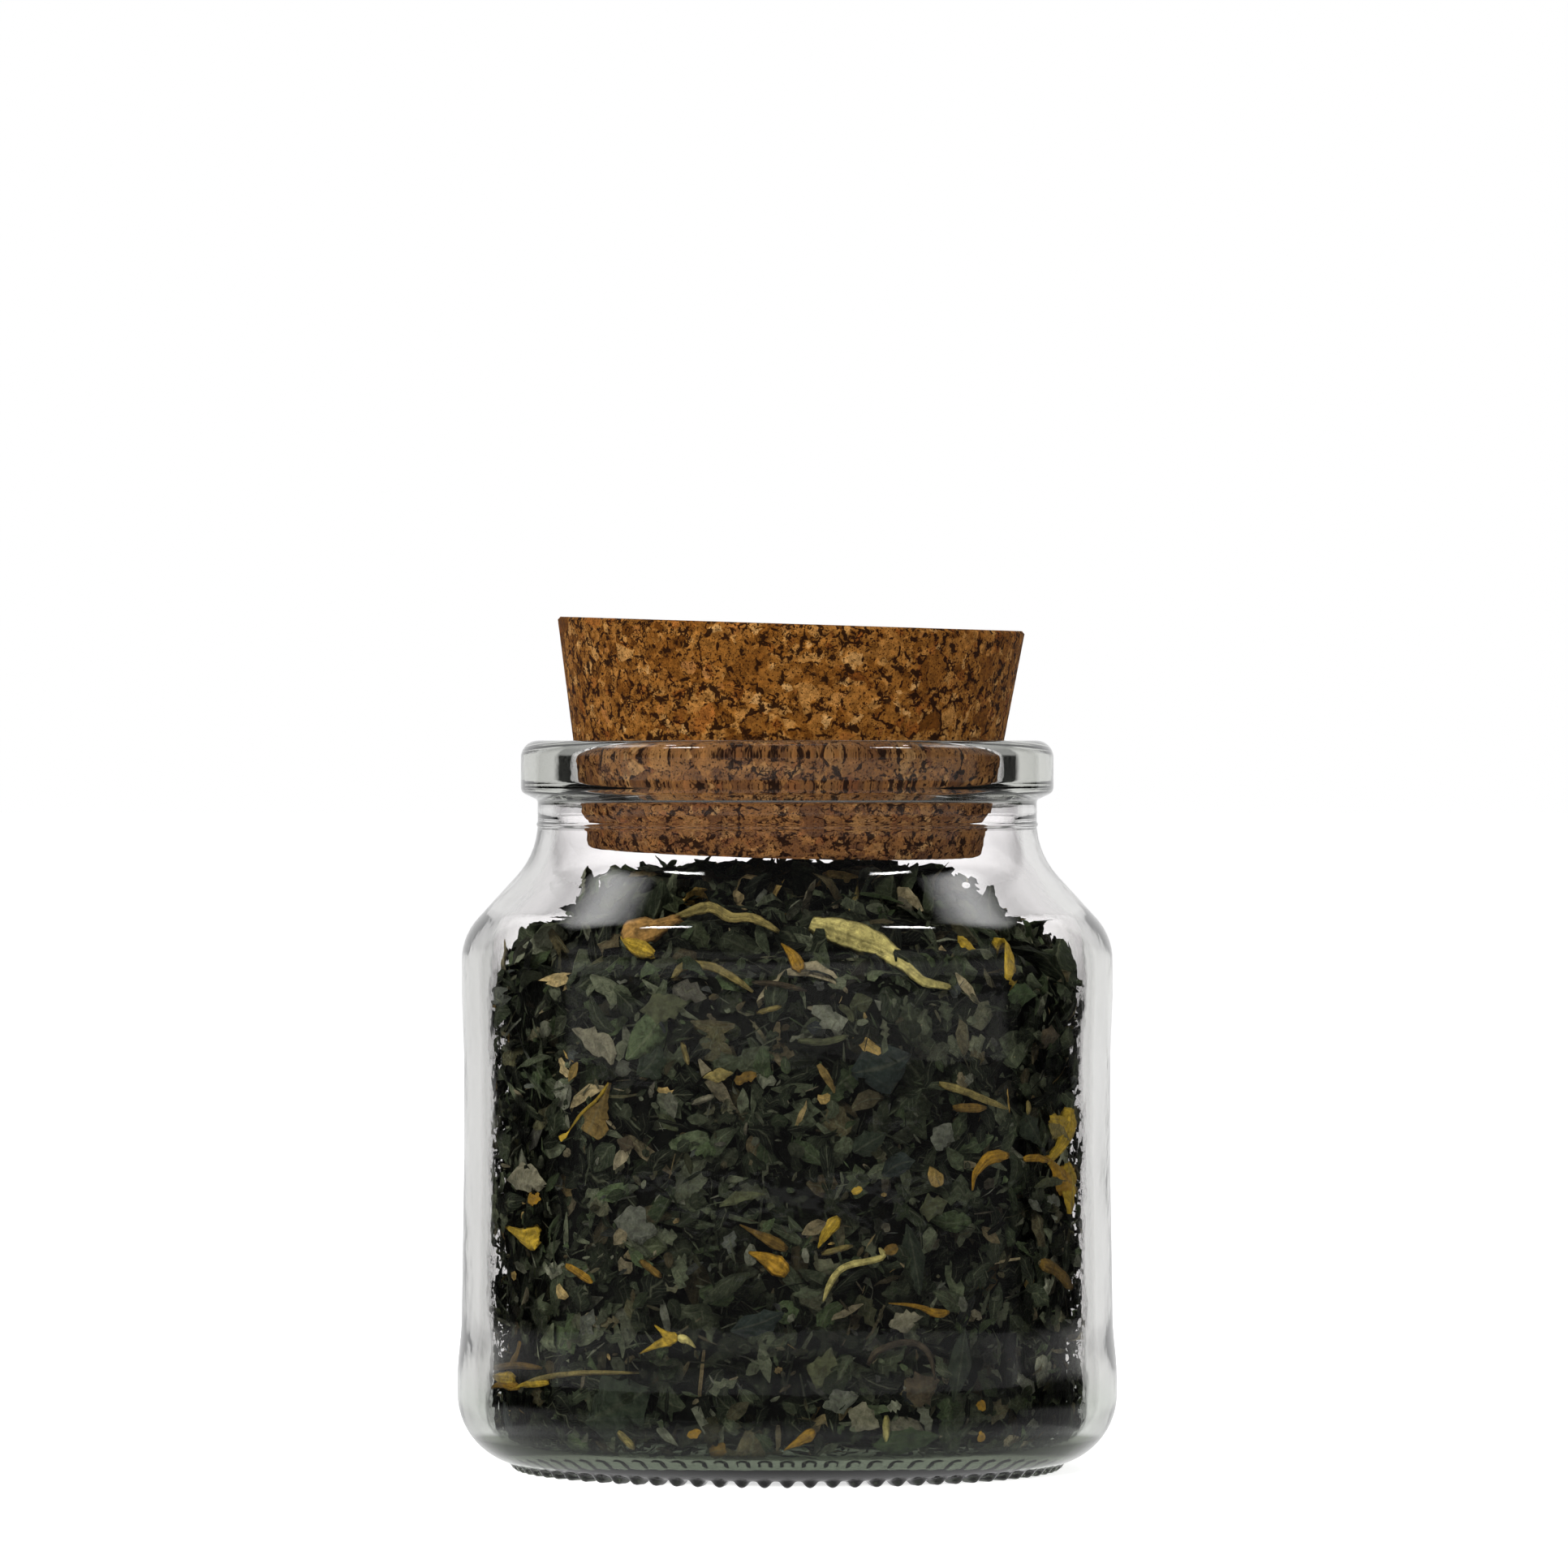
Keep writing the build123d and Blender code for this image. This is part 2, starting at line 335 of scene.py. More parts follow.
# the same on both sides: a bright strip, a dimmer panel behind it and a small spark
sideLamps = {
    "strip": dict(spot=(0.60, -0.16, 1.19), size=(0.08, 0.30), power=2.6, turn=45, fade=0.7),
    "panel": dict(spot=(0.76, 0.38, 1.12), size=(0.55, 0.50), power=3.0, fade=1.2),
    "spark": dict(spot=(0.50, 0.26, 1.22), size=(0.07, 0.045), power=0.30),
}
fillLamp = dict(spot=(-0.9, -1.7, 1.5), size=(0.7, 0.6), power=46.0, glossy=False)
lampTarget = Vector((0, 0, 0.06))
floorSet = {"half": 12.0, "tone": 0.86, "glow": 0.62, "glowUnderJar": 0.65, "jarEdge": (0.034, 0.043)}


def makeWorld():
    world = bpy.data.worlds.new("studio")
    world.use_nodes = True
    scene.world = world
    tree = world.node_tree
    tree.nodes.clear()
    ray = place(tree, "ShaderNodeLightPath").outputs
    axes = axesOf(tree, place(tree, "ShaderNodeTexCoord").outputs["Generated"])
    flat = sums(tree, "SQRT", plus(tree, times(tree, axes[0], axes[0]), times(tree, axes[1], axes[1])))
    flat = sums(tree, "MAXIMUM", flat, lightSet["leastFlat"])
    turn = sums(tree, "ARCCOSINE", sums(tree, "DIVIDE", times(tree, axes[1], -1.0), flat))
    turn = sums(tree, "DEGREES", turn)
    # the front of the studio is a pale wall above a darker table
    ahead = ranged(tree, axes[2], *lightSet["tableEdge"], lightSet["tableFront"], lightSet["wallFront"])
    ahead = ranged(tree, axes[2], *lightSet["highEdge"], ahead, lightSet["highFront"])
    beside = ranged(tree, axes[2], *lightSet["lowSideEdge"], lightSet["lowSide"], lightSet["studioSide"])
    front = ranged(tree, turn, *lightSet["frontEdge"], ahead, beside)
    behind = ranged(tree, turn, *lightSet["sideEdge"], 0.0, lightSet["studioBehind"])
    behind = times(tree, behind, plus(tree, 1.0, times(tree, axes[0], lightSet["leftShade"])))
    studio = sums(tree, "MAXIMUM", front, behind)
    # well below the horizon only the shaded table shows
    studio = ranged(tree, axes[2], *lightSet["underEdge"], lightSet["under"], studio)
    studio = ranged(tree, axes[2], *lightSet["deepEdge"], lightSet["deepUnder"], studio)
    # what is seen straight through the glass is white, what it mirrors is the studio
    bounced = sums(tree, "GREATER_THAN", ray["Glossy Depth"], 0.5)
    clear = mixed(tree, bounced, 1.0, studio)
    sharp = sums(tree, "MAXIMUM", ray["Is Glossy Ray"], ray["Is Transmission Ray"])
    level = mixed(tree, sharp, lightSet["worldDiffuse"], clear)
    level = mixed(tree, ray["Is Camera Ray"], level, 1.0)
    shader = place(tree, "ShaderNodeBackground", {0: white, 1: level})
    place(tree, "ShaderNodeOutputWorld", {0: shader.outputs[0]})


# a lamp that fades from its middle to its edges
def fadeLamp(lamp, fade):
    lamp.use_nodes = True
    tree = lamp.node_tree
    tree.nodes.clear()
    spot = axesOf(tree, place(tree, "ShaderNodeNewGeometry").outputs["Parametric"])
    level = 1.0
    for axis in (0, 1):
        level = times(tree, level, sums(tree, "SINE", times(tree, spot[axis], math.pi)))
    level = times(tree, sums(tree, "POWER", level, fade), 2.0)
    glow = place(tree, "ShaderNodeEmission", {0: white, 1: level})
    place(tree, "ShaderNodeOutputLight", {0: glow.outputs[0]})


def softbox(name, spot, size, power, glossy=True, turn=0.0, fade=0.0):
    lamp = bpy.data.lights.new(name, "AREA")
    lamp.shape = "RECTANGLE"
    lamp.size, lamp.size_y = size
    lamp.energy = power
    if fade:
        fadeLamp(lamp, fade)
    made = bpy.data.objects.new(name, lamp)
    made.location = spot
    made.rotation_euler = (lampTarget - Vector(spot)).to_track_quat("-Z", "Y").to_euler()
    turned = made.rotation_euler.to_matrix() @ Matrix.Rotation(math.radians(turn), 3, "Z")
    made.rotation_euler = turned.to_euler()
    made.visible_glossy = glossy
    made.visible_transmission = False
    made.visible_camera = False
    scene.collection.objects.link(made)


def makeLamps():
    for side, label in ((-1, "Left"), (1, "Right")):
        for kind, lamp in sideLamps.items():
            x, y, z = lamp["spot"]
            softbox(kind + label, **{**lamp, "spot": (side * x, y, z), "turn": side * lamp.get("turn", 0.0)})
    softbox("fillFront", **fillLamp)


def makeFloor():
    material, tree = newMaterial("paleFloor")
    ray = place(tree, "ShaderNodeLightPath").outputs
    tone = floorSet["tone"]
    matte = place(tree, "ShaderNodeBsdfDiffuse", {0: (tone, tone, tone, 1)}).outputs[0]
    spot = place(tree, "ShaderNodeTexCoord").outputs["Object"]
    reach = vectorSum(tree, "LENGTH", {0: spot}).outputs["Value"]
    level = ranged(tree, reach, *floorSet["jarEdge"], floorSet["glowUnderJar"], floorSet["glow"])
    glow = place(tree, "ShaderNodeEmission", {0: white, 1: level}).outputs[0]
    both = place(tree, "ShaderNodeAddShader", {0: matte, 1: glow}).outputs[0]
    sharp = sums(tree, "MAXIMUM", ray["Is Glossy Ray"], ray["Is Transmission Ray"])
    seen = sums(tree, "MAXIMUM", ray["Is Camera Ray"], sharp)
    plain = place(tree, "ShaderNodeMixShader", {0: seen, 1: matte, 2: both}).outputs[0]
    # what the glass mirrors is the studio below, not this floor
    past = place(tree, "ShaderNodeBsdfTransparent", {0: white}).outputs[0]
    bounced = sums(tree, "GREATER_THAN", ray["Glossy Depth"], 0.5)
    whole = place(tree, "ShaderNodeMixShader", {0: bounced, 1: plain, 2: past})
    place(tree, "ShaderNodeOutputMaterial", {0: whole.outputs[0]})
    mesh = bpy.data.meshes.new("floor")
    half = floorSet["half"]
    corners = [(-half, -half, 0), (half, -half, 0), (half, half, 0), (-half, half, 0)]
    mesh.from_pydata(corners, [], [(0, 1, 2, 3)])
    floor = asObject("floor", mesh, material)


makeWorld()
makeLamps()
makeFloor()
print("light and floor set")


# shared shader groups
mottleSet = {"broadShare": 0.6, "broadDetail": 3.0, "broadRoughness": 0.6, "fineShare": 0.4, "fineTimes": 4.3}
veinSet = {"midrib": (0.02, 0.07), "vein": (0.04, 0.14)}


# even mottling of a natural surface: a brightness near 1 and a height, from Object coordinates
def mottleGroup():
    tree, given = newGroup("ShaderNodeTree", "naturalMottle",
                           {"Vector": "Vector", "Spots Per mm": "Float", "Spread": "Float"},
                           {"Brightness": "Float", "Height": "Float"})
    broad = noiseOf(tree, given[0], given[1], mottleSet["broadDetail"], mottleSet["broadRoughness"])[0]
    fine = noiseOf(tree, given[0], times(tree, given[1], mottleSet["fineTimes"]))[0]
    both = plus(tree, times(tree, broad, mottleSet["broadShare"]), times(tree, fine, mottleSet["fineShare"]))
    bright = plus(tree, times(tree, minus(tree, both, 0.5), given[2]), 1.0)
    place(tree, "NodeGroupOutput", {0: bright, 1: both})
    return tree


# veins from a piece's own UV map: u along the blade, v across it
def veinGroup():
    tree, given = newGroup("ShaderNodeTree", "bladeVeins",
                           {"UV": "Vector", "Side Veins": "Float", "Slant": "Float"},
                           {"Midrib": "Float", "Vein": "Float"})
    axes = axesOf(tree, given[0])
    off = sums(tree, "ABSOLUTE", minus(tree, axes[1], 0.5))
    midrib = ranged(tree, off, *veinSet["midrib"], 1.0, 0.0)
    along = times(tree, minus(tree, axes[0], times(tree, off, given[2])), given[1])
    saw = sums(tree, "ABSOLUTE", minus(tree, sums(tree, "FRACT", along), 0.5))
    vein = ranged(tree, saw, *veinSet["vein"], 1.0, 0.0)
    place(tree, "NodeGroupOutput", {0: midrib, 1: vein})
    return tree


mottle = mottleGroup()
veins = veinGroup()


def mottled(tree, spot, perMillimetre, spread):
    return grouped(tree, mottle, {"Vector": spot, "Spots Per mm": perMillimetre, "Spread": spread})


# glass jar
rimHeight = 93.0
neckRadius = 31.86
floorLevel = 3.8
standLevel = 0.7
glassSet = {
    "segments": 304, "fineTimes": 3, "fineFrom": 28.96, "fineTo": 36.0, "fineStep": 0.36,
    # (radius, height, fillet) from the middle of the base, over the lip, to the middle of the floor
    "corners": [(0, standLevel, 0), (42.1, standLevel, 9.0), (42.1, 13.1, 30), (41.59, 18.1, 30),
                (41.25, 40.0, 60), (41.25, 52.975, 40), (41.55, 60.775, 60), (41.55, 68.075, 8.0),
                (neckRadius, 78.65, 10.2), (neckRadius, 85.4, 0.5), (34.0, 86.4, 1.0),
                (34.0, rimHeight, 2.2), (27.7, rimHeight, 1.5), (27.7, 87.3, 1.8), (29.56, 85.5, 1.8),
                (29.56, 77.31, 12.6), (37.95, 68.155, 6.5), (37.95, floorLevel, 4.8), (0, floorLevel, 0)],
    "underHeight": 3, "floorHeight": 10, "coarseGap": (0.8, 0.3), "mouthDrop": 0.1,
    "hollow": (28.6, 2.2), "kick": (30.5, 1.6),
    "beadLevel": 82.3, "beadTube": 0.35, "beadProud": 0.15, "beadRoom": 0.6, "beadWithin": 33,
    # waves of the blown inside: turns, radians per mm of height, start and share; then their depth and
    # the heights where they fade, in mm
    "waves": [(7, 0.11, 0.0, 0.4), (13, -0.23, 1.7, 0.3), (3, 0.42, 0.6, 0.3), (22, 0.35, 0.0, 0.15)],
    "waveDepth": 0.03, "waveFrom": 9, "waveTo": 84, "waveFade": 6, "waveSkin": 0.5,
    "ribs": {"Rib Count": 76, "Bar Radius": 1.15 * mm, "Axis Height": 1.05 * mm, "Sole Height": 2.8 * mm,
             "Inner End": 33.0 * mm, "Outer End": 34.4 * mm},
}
glassLookSet = {
    "ior": 1.5, "specularTint": 0.5, "shadow": 0.98, "absorb": (0.30, 0.36, 0.22), "absorbDensity": 31.0,
    "rippleSpots": 0.09, "rippleStrength": 0.06, "rippleDistance": 0.0006,
    "tint": (0.93, 0.91, 0.925), "heelTint": (0.82, 0.835, 0.815), "paintedLineShade": (0.05, 0.062, 0.038),
    "paintedBaseShade": (0.042, 0.055, 0.032), "toothTint": (0.88, 0.96, 0.84),
    # tints by share of this height, mm: pale green at the teeth, then nearly black painted shade across the
    # base and at the floor line for the dark filling seen through the thick base and mirrored in it, a little
    # darker through the heel, clear above
    "tintHeight": 15.0,
    "byHeight": [(0.085, "toothTint"), (0.11, "paintedBaseShade"), (0.20, "paintedBaseShade"), (0.22, "paintedLineShade"),
                 (0.29, "paintedLineShade"), (0.34, "heelTint"), (0.62, "heelTint"), (0.85, "tint")],
}


def glassMaterial():
    look = glassLookSet
    material, tree = newMaterial("clearGlass")
    ray = place(tree, "ShaderNodeLightPath").outputs
    spot = inMillimetres(tree)
    ripple = mottled(tree, spot, look["rippleSpots"], 0.0)
    ripple = bumpOf(tree, look["rippleStrength"], look["rippleDistance"], ripple["Height"])
    tinge = look["specularTint"]
    # the base's near-black bands are painted shade
    share = sums(tree, "DIVIDE", axesOf(tree, spot)[2], look["tintHeight"])
    tint = ramp(tree, share, [(where, look[name]) for where, name in look["byHeight"]])
    glass = place(tree, "ShaderNodeBsdfPrincipled", {
        "Base Color": tint, "Roughness": 0.0, "IOR": look["ior"], "Transmission Weight": 1.0,
        "Specular Tint": (tinge, tinge, tinge, 1), "Normal": ripple})
    shadow = look["shadow"]
    clear = place(tree, "ShaderNodeBsdfTransparent", {0: (shadow, shadow, shadow, 1)}).outputs[0]
    shader = glass.outputs[0]
    for kind in ("Is Diffuse Ray", "Is Shadow Ray"):
        shader = place(tree, "ShaderNodeMixShader", {0: ray[kind], 1: shader, 2: clear}).outputs[0]
    absorb = place(tree, "ShaderNodeVolumeAbsorption", {0: (*look["absorb"], 1), 1: look["absorbDensity"]})
    place(tree, "ShaderNodeOutputMaterial", {0: shader, 1: absorb.outputs[0]})
    return material


def glassRings():
    line = roundedLine(glassSet["corners"])
    mouth = next(i for i, (r, z) in enumerate(line) if z > rimHeight - glassSet["mouthDrop"])
    outer, inner = line[:mouth], line[mouth:]
    coarse, fine = glassSet["segments"], glassSet["segments"] * glassSet["fineTimes"]
    low, high = glassSet["fineFrom"], glassSet["fineTo"]
    gapLow, gapHigh = glassSet["coarseGap"]
    under = [(r, z) for r, z in outer if z < glassSet["underHeight"]]
    underRadii, underHeights = zip(*under)
    rings = [(r, standLevel + dome(r, glassSet["hollow"]), coarse) for r, z in under if r < low - gapLow]
    for radius in np.arange(low, high, glassSet["fineStep"]):
        rings.append((radius, float(np.interp(radius, underRadii, underHeights)), fine))
    rings += [(r, z, coarse) for r, z in outer if r > high + gapHigh or z > glassSet["underHeight"]]
    # the seam bead round the neck
    level, tube, room = glassSet["beadLevel"], glassSet["beadTube"], glassSet["beadRoom"]
    within = glassSet["beadWithin"]
    at = next(i for i, ring in enumerate(rings) if ring[1] > level + room and ring[0] < within)
    bead = [(neckRadius + glassSet["beadProud"] * math.cos(k * math.pi / 6), level + tube * k / 3, coarse)
            for k in range(-3, 4)]
    rings = [ring for ring in rings[:at] if not abs(ring[1] - level) < room] + bead + rings[at:]
    outerCount = len(rings)
    for r, z in inner:
        rings.append((r, z + (dome(r, glassSet["kick"]) if z < glassSet["floorHeight"] else 0), coarse))
    return rings, outerCount


# heights and radii of the glass's outside and of its inside, in mm
def radiusTables(rings, outerCount, foot=(36, 3), floor=(31.5, 10)):
    outside = [ring for ring in rings[:outerCount] if ring[0] > foot[0] or ring[1] > foot[1]]
    inside = [ring for ring in rings[outerCount:] if ring[0] > floor[0] or ring[1] > floor[1]]
    inside = sorted(inside, key=lambda ring: ring[1])
    return [([ring[1] for ring in side], [ring[0] for ring in side]) for side in (outside, inside)]


# presses the knurls down out of the base: bars that point to the axis, with flattened flanks
def ribTree():
    tree, given = newGroup("GeometryNodeTree", "knurlBars",
                           {"Geometry": "Geometry", "Rib Count": "Int", "Bar Radius": "Float",
                            "Axis Height": "Float", "Sole Height": "Float", "Inner End": "Float",
                            "Outer End": "Float"},
                           {"Geometry": "Geometry"})
    axes = axesOf(tree, place(tree, "GeometryNodeInputPosition").outputs[0])
    radius = sums(tree, "SQRT", plus(tree, times(tree, axes[0], axes[0]), times(tree, axes[1], axes[1])))
    half = sums(tree, "DIVIDE", sums(tree, "DIVIDE", math.tau, given["Rib Count"]), 2.0)
    angle = sums(tree, "WRAP", sums(tree, "ARCTAN2", axes[1], axes[0]), half, times(tree, half, -1.0))
    across = times(tree, radius, sums(tree, "SINE", angle))
    short = sums(tree, "MAXIMUM", minus(tree, given["Inner End"], radius), 0.0)
    beyond = sums(tree, "MAXIMUM", minus(tree, radius, given["Outer End"]), 0.0)
    ends = plus(tree, short, beyond)
    away = plus(tree, times(tree, across, across), times(tree, ends, ends))
    wide = times(tree, given["Bar Radius"], given["Bar Radius"])
    sole = times(tree, sums(tree, "DIVIDE", away, wide), given["Axis Height"])
    within = sums(tree, "GREATER_THAN", minus(tree, wide, away), 0.0)
    chosen = times(tree, within, sums(tree, "LESS_THAN", axes[2], given["Sole Height"]))
    lowered = sums(tree, "MINIMUM", axes[2], sole)
    moved = place(tree, "ShaderNodeCombineXYZ", {0: axes[0], 1: axes[1], 2: lowered}).outputs[0]
    shaped = place(tree, "GeometryNodeSetPosition",
                   {"Geometry": given["Geometry"], "Selection": chosen, "Position": moved})
    place(tree, "NodeGroupOutput", {0: shaped.outputs[0]})
    return tree


glassLook = glassMaterial()
rings, outerCount = glassRings()
outsideTable, insideTable = radiusTables(rings, outerCount)


def outsideAt(height):
    return float(np.interp(height, *outsideTable))


def insideAt(height):
    return float(np.interp(height, *insideTable))


def makeGlass():
    mesh = turnedMesh("glassJar", rings)
    points = pointsOf(mesh)
    radius = np.hypot(points[:, 0], points[:, 1])
    angle = np.arctan2(points[:, 1], points[:, 0])
    height = points[:, 2] / mm
    # the inside of a blown wall is never quite even
    low, high, fade = glassSet["waveFrom"], glassSet["waveTo"], glassSet["waveFade"]
    within = radius / mm < np.interp(height, *insideTable) + glassSet["waveSkin"]
    within &= (height > low) & (height < high)
    wave = sum(np.sin(turns * angle + height * perHeight + start) * share
               for turns, perHeight, start, share in glassSet["waves"])
    ease = np.clip((height - low) / fade, 0, 1) * np.clip((high - height) / fade, 0, 1)
    depth = wave * ease * glassSet["waveDepth"] * mm / np.maximum(radius, 1e-6)
    points[:, :2] *= (1 + np.where(within, depth, 0))[:, None]
    setPoints(mesh, points)
    jar = asObject("glassJar", mesh, glassLook)
    useTree(jar, ribTree(), glassSet["ribs"])
    settle(jar)
    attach(jar, "jar")
    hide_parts("jar_glass")
    return len(jar.data.polygons)


print("glass jar made", makeGlass())


# cork stopper
corkSet = {"seat": (0, 0, 91.5), "leanX": 0.7, "leanY": 1.8, "low": -13.7, "high": 16.4, "lowRadius": 25.056,
           "highRadius": 29.877, "chamfer": 0.4, "segments": 320, "rowStep": 0.56, "capStep": 0.85,
           # pits and grain: noise per mm and depth in mm; pits start where their noise is past pitFrom
           "pitNoise": 0.52, "pitShare": 0.7, "finePitNoise": 1.3, "finePitShare": 0.45,
           "finePitAway": (9, 4, 2), "pitFrom": 0.34, "pitDepth": 0.42, "grainNoise": 2.1, "grainDepth": 0.05}
corkLookSet = {
    # a noise is its scale per mm, its detail and its roughness; a pair is where a mask starts and ends
    "driftNoise": (0.55, 3.0), "driftReach": 1.9, "granules": 0.34, "crumbs": 0.8, "crumbEdges": 1.05,
    "patchNoise": (0.33, 2.0), "crumbPatch": (0.43, 0.49),
    "tones": [(0.0, (0.076, 0.025, 0.003)), (0.2, (0.132, 0.048, 0.0068)), (0.5, (0.186, 0.073, 0.0122)),
              (0.8, (0.236, 0.100, 0.0208)), (0.94, (0.305, 0.147, 0.039)), (1.0, (0.37, 0.20, 0.068))],
    "rust": (0.86, 0.93, 0.0, 0.5), "rustColour": (0.20, 0.058, 0.010, 1),
    "streakTurn": (0.5, 0.3, 0.9), "streakStretch": (0.5, 2.4, 1.2), "streakNoise": (0.9, 3.0),
    "streaks": (0.32, 0.68, 0.72, 1.24), "spots": 1.5, "spotSpread": 2.7,
    # the pale blend on the part inside the glass is painted reflection
    "seated": (91.0, 93.5, 0.10, 0.0), "seatedColour": (0.42, 0.25, 0.18, 1),
    "gapNoise": (0.85, 3.0), "gapWidth": (0.46, 0.68, 0.0, 0.13), "gapComes": (0.48, 0.54),
    "largeGapShare": 0.6, "largeGapEdge": 0.025, "smallGapEdge": 0.04,
    "speckNoise": (2.0, 3.0, 0.65), "speckBar": (0.38, 0.62, 0.635, 0.56), "speckEdge": 0.035,
    "dustNoise": (3.6, 2.0, 0.7), "dust": (0.59, 0.63, 0.0, 0.95),
    "darkShare": 0.97, "darkColour": (0.012, 0.0035, 0.0008, 1), "spotHeight": 0.5,
    "bumpStrength": 0.55, "bumpDistance": 0.0003, "roughness": 0.9, "specular": 0.08,
}
corkFrame = Matrix.Translation(Vector(corkSet["seat"]) * mm)
for lean, axis in (("leanX", "X"), ("leanY", "Y")):
    corkFrame = corkFrame @ Matrix.Rotation(math.radians(corkSet[lean]), 4, axis)


# dark gaps that come and go along the granules' edges, and specks, closest together among the crumbs
def corkDarkness(tree, spot, bent, patch, crumbs):
    look = corkLookSet
    largeEdge = cellsOf(tree, bent, look["granules"], "DISTANCE_TO_EDGE")[0]
    smallEdge = cellsOf(tree, bent, look["crumbEdges"], "DISTANCE_TO_EDGE")[0]
    comes = noiseOf(tree, spot, *look["gapNoise"])[0]
    width = ranged(tree, comes, *look["gapWidth"])
    inset = minus(tree, largeEdge, times(tree, width, look["largeGapShare"]))
    gapLarge = ranged(tree, inset, 0.0, look["largeGapEdge"], 1.0, 0.0)
    gapSmall = ranged(tree, minus(tree, smallEdge, width), 0.0, look["smallGapEdge"], 1.0, 0.0)
    gap = sums(tree, "MAXIMUM", gapLarge, times(tree, gapSmall, crumbs))
    gap = times(tree, gap, ranged(tree, comes, *look["gapComes"]))
    speck = noiseOf(tree, spot, *look["speckNoise"])[0]
    bar = ranged(tree, patch, *look["speckBar"])
    specks = ranged(tree, minus(tree, speck, bar), 0.0, look["speckEdge"])
    dust = noiseOf(tree, spot, *look["dustNoise"])[0]
    specks = sums(tree, "MAXIMUM", specks, ranged(tree, dust, *look["dust"]))
    return sums(tree, "MAXIMUM", gap, specks)


def corkMaterial():
    look = corkLookSet
    material, tree = newMaterial("pressedCork")
    spot = inMillimetres(tree)
    drift = noiseOf(tree, spot, *look["driftNoise"])[1]
    drift = vectorSum(tree, "SUBTRACT", {0: drift, 1: (0.5, 0.5, 0.5)}).outputs[0]
    drift = vectorSum(tree, "SCALE", {0: drift, 3: look["driftReach"]}).outputs[0]
    bent = vectorSum(tree, "ADD", {0: spot, 1: drift}).outputs[0]
    # patches of crumbs among the larger granules
    patch = noiseOf(tree, spot, *look["patchNoise"])[0]
    crumbs = ranged(tree, patch, *look["crumbPatch"])
    large = cellsOf(tree, bent, look["granules"])["Color"]
    small = cellsOf(tree, bent, look["crumbs"])["Color"]
    tones = place(tree, "ShaderNodeSeparateColor", {0: blendColour(tree, crumbs, large, small)}).outputs
    colour = ramp(tree, tones[0], look["tones"])
    colour = blendColour(tree, ranged(tree, tones[1], *look["rust"]), colour, look["rustColour"])
    # growth streaks inside the granules
    stretched = {0: bent, 2: look["streakTurn"], 3: look["streakStretch"]}
    streak = place(tree, "ShaderNodeMapping", stretched).outputs[0]
    streak = noiseOf(tree, streak, *look["streakNoise"])[0]
    colour = dimmed(tree, colour, ranged(tree, streak, *look["streaks"]))
    spots = mottled(tree, spot, look["spots"], look["spotSpread"])
    colour = dimmed(tree, colour, spots["Brightness"])
    # painted reflection: the part that sits in the glass is blended a little towards a pale pink, for the
    # glass's haze over it
    seated = ranged(tree, axesOf(tree, spot)[2], *look["seated"])
    colour = blendColour(tree, seated, colour, look["seatedColour"])
    dark = corkDarkness(tree, spot, bent, patch, crumbs)
    colour = blendColour(tree, times(tree, dark, look["darkShare"]), colour, look["darkColour"])
    height = minus(tree, times(tree, spots["Height"], look["spotHeight"]), dark)
    finishSurface(tree, colour, height, look)
    return material


def corkRings():
    low, high, cut, count = corkSet["low"], corkSet["high"], corkSet["chamfer"], corkSet["segments"]
    a, b = corkSet["lowRadius"], corkSet["highRadius"]
    rings = [(r, low) for r in np.append(np.arange(0, a - cut, corkSet["capStep"]), a - cut)]
    rows = int((high - low - 2 * cut) / corkSet["rowStep"])
    for row in range(rows + 1):
        z = low + cut + (high - low - 2 * cut) * row / rows
        rings.append((a + (b - a) * (z - low) / (high - low), z))
    rings += [(r, high) for r in np.append(np.arange(0, b - cut, corkSet["capStep"]), b - cut)[::-1]]
    return [(float(r), float(z), count) for r, z in rings]


def makeCork():
    mesh = turnedMesh("corkStopper", corkRings())
    points = pointsOf(mesh)
    away = Vector(corkSet["finePitAway"])
    sink = np.empty(len(points))
    for index, point in enumerate(points / mm):
        spot = Vector(point)
        pit = noise.noise(spot * corkSet["pitNoise"]) * corkSet["pitShare"]
        pit += noise.noise(spot * corkSet["finePitNoise"] + away) * corkSet["finePitShare"]
        grain = (noise.noise(spot * corkSet["grainNoise"]) + 1) * 0.5
        sink[index] = max(0.0, pit - corkSet["pitFrom"]) * corkSet["pitDepth"] + grain * corkSet["grainDepth"]
    points -= normalsOf(mesh) * (sink * mm)[:, None]
    setPoints(mesh, points)
    mesh.transform(corkFrame)
    cork = asObject("corkStopper", mesh, corkMaterial())
    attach(cork, "stopper")
    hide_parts("cork_stopper")
    return len(mesh.polygons)


print("cork stopper made", makeCork())


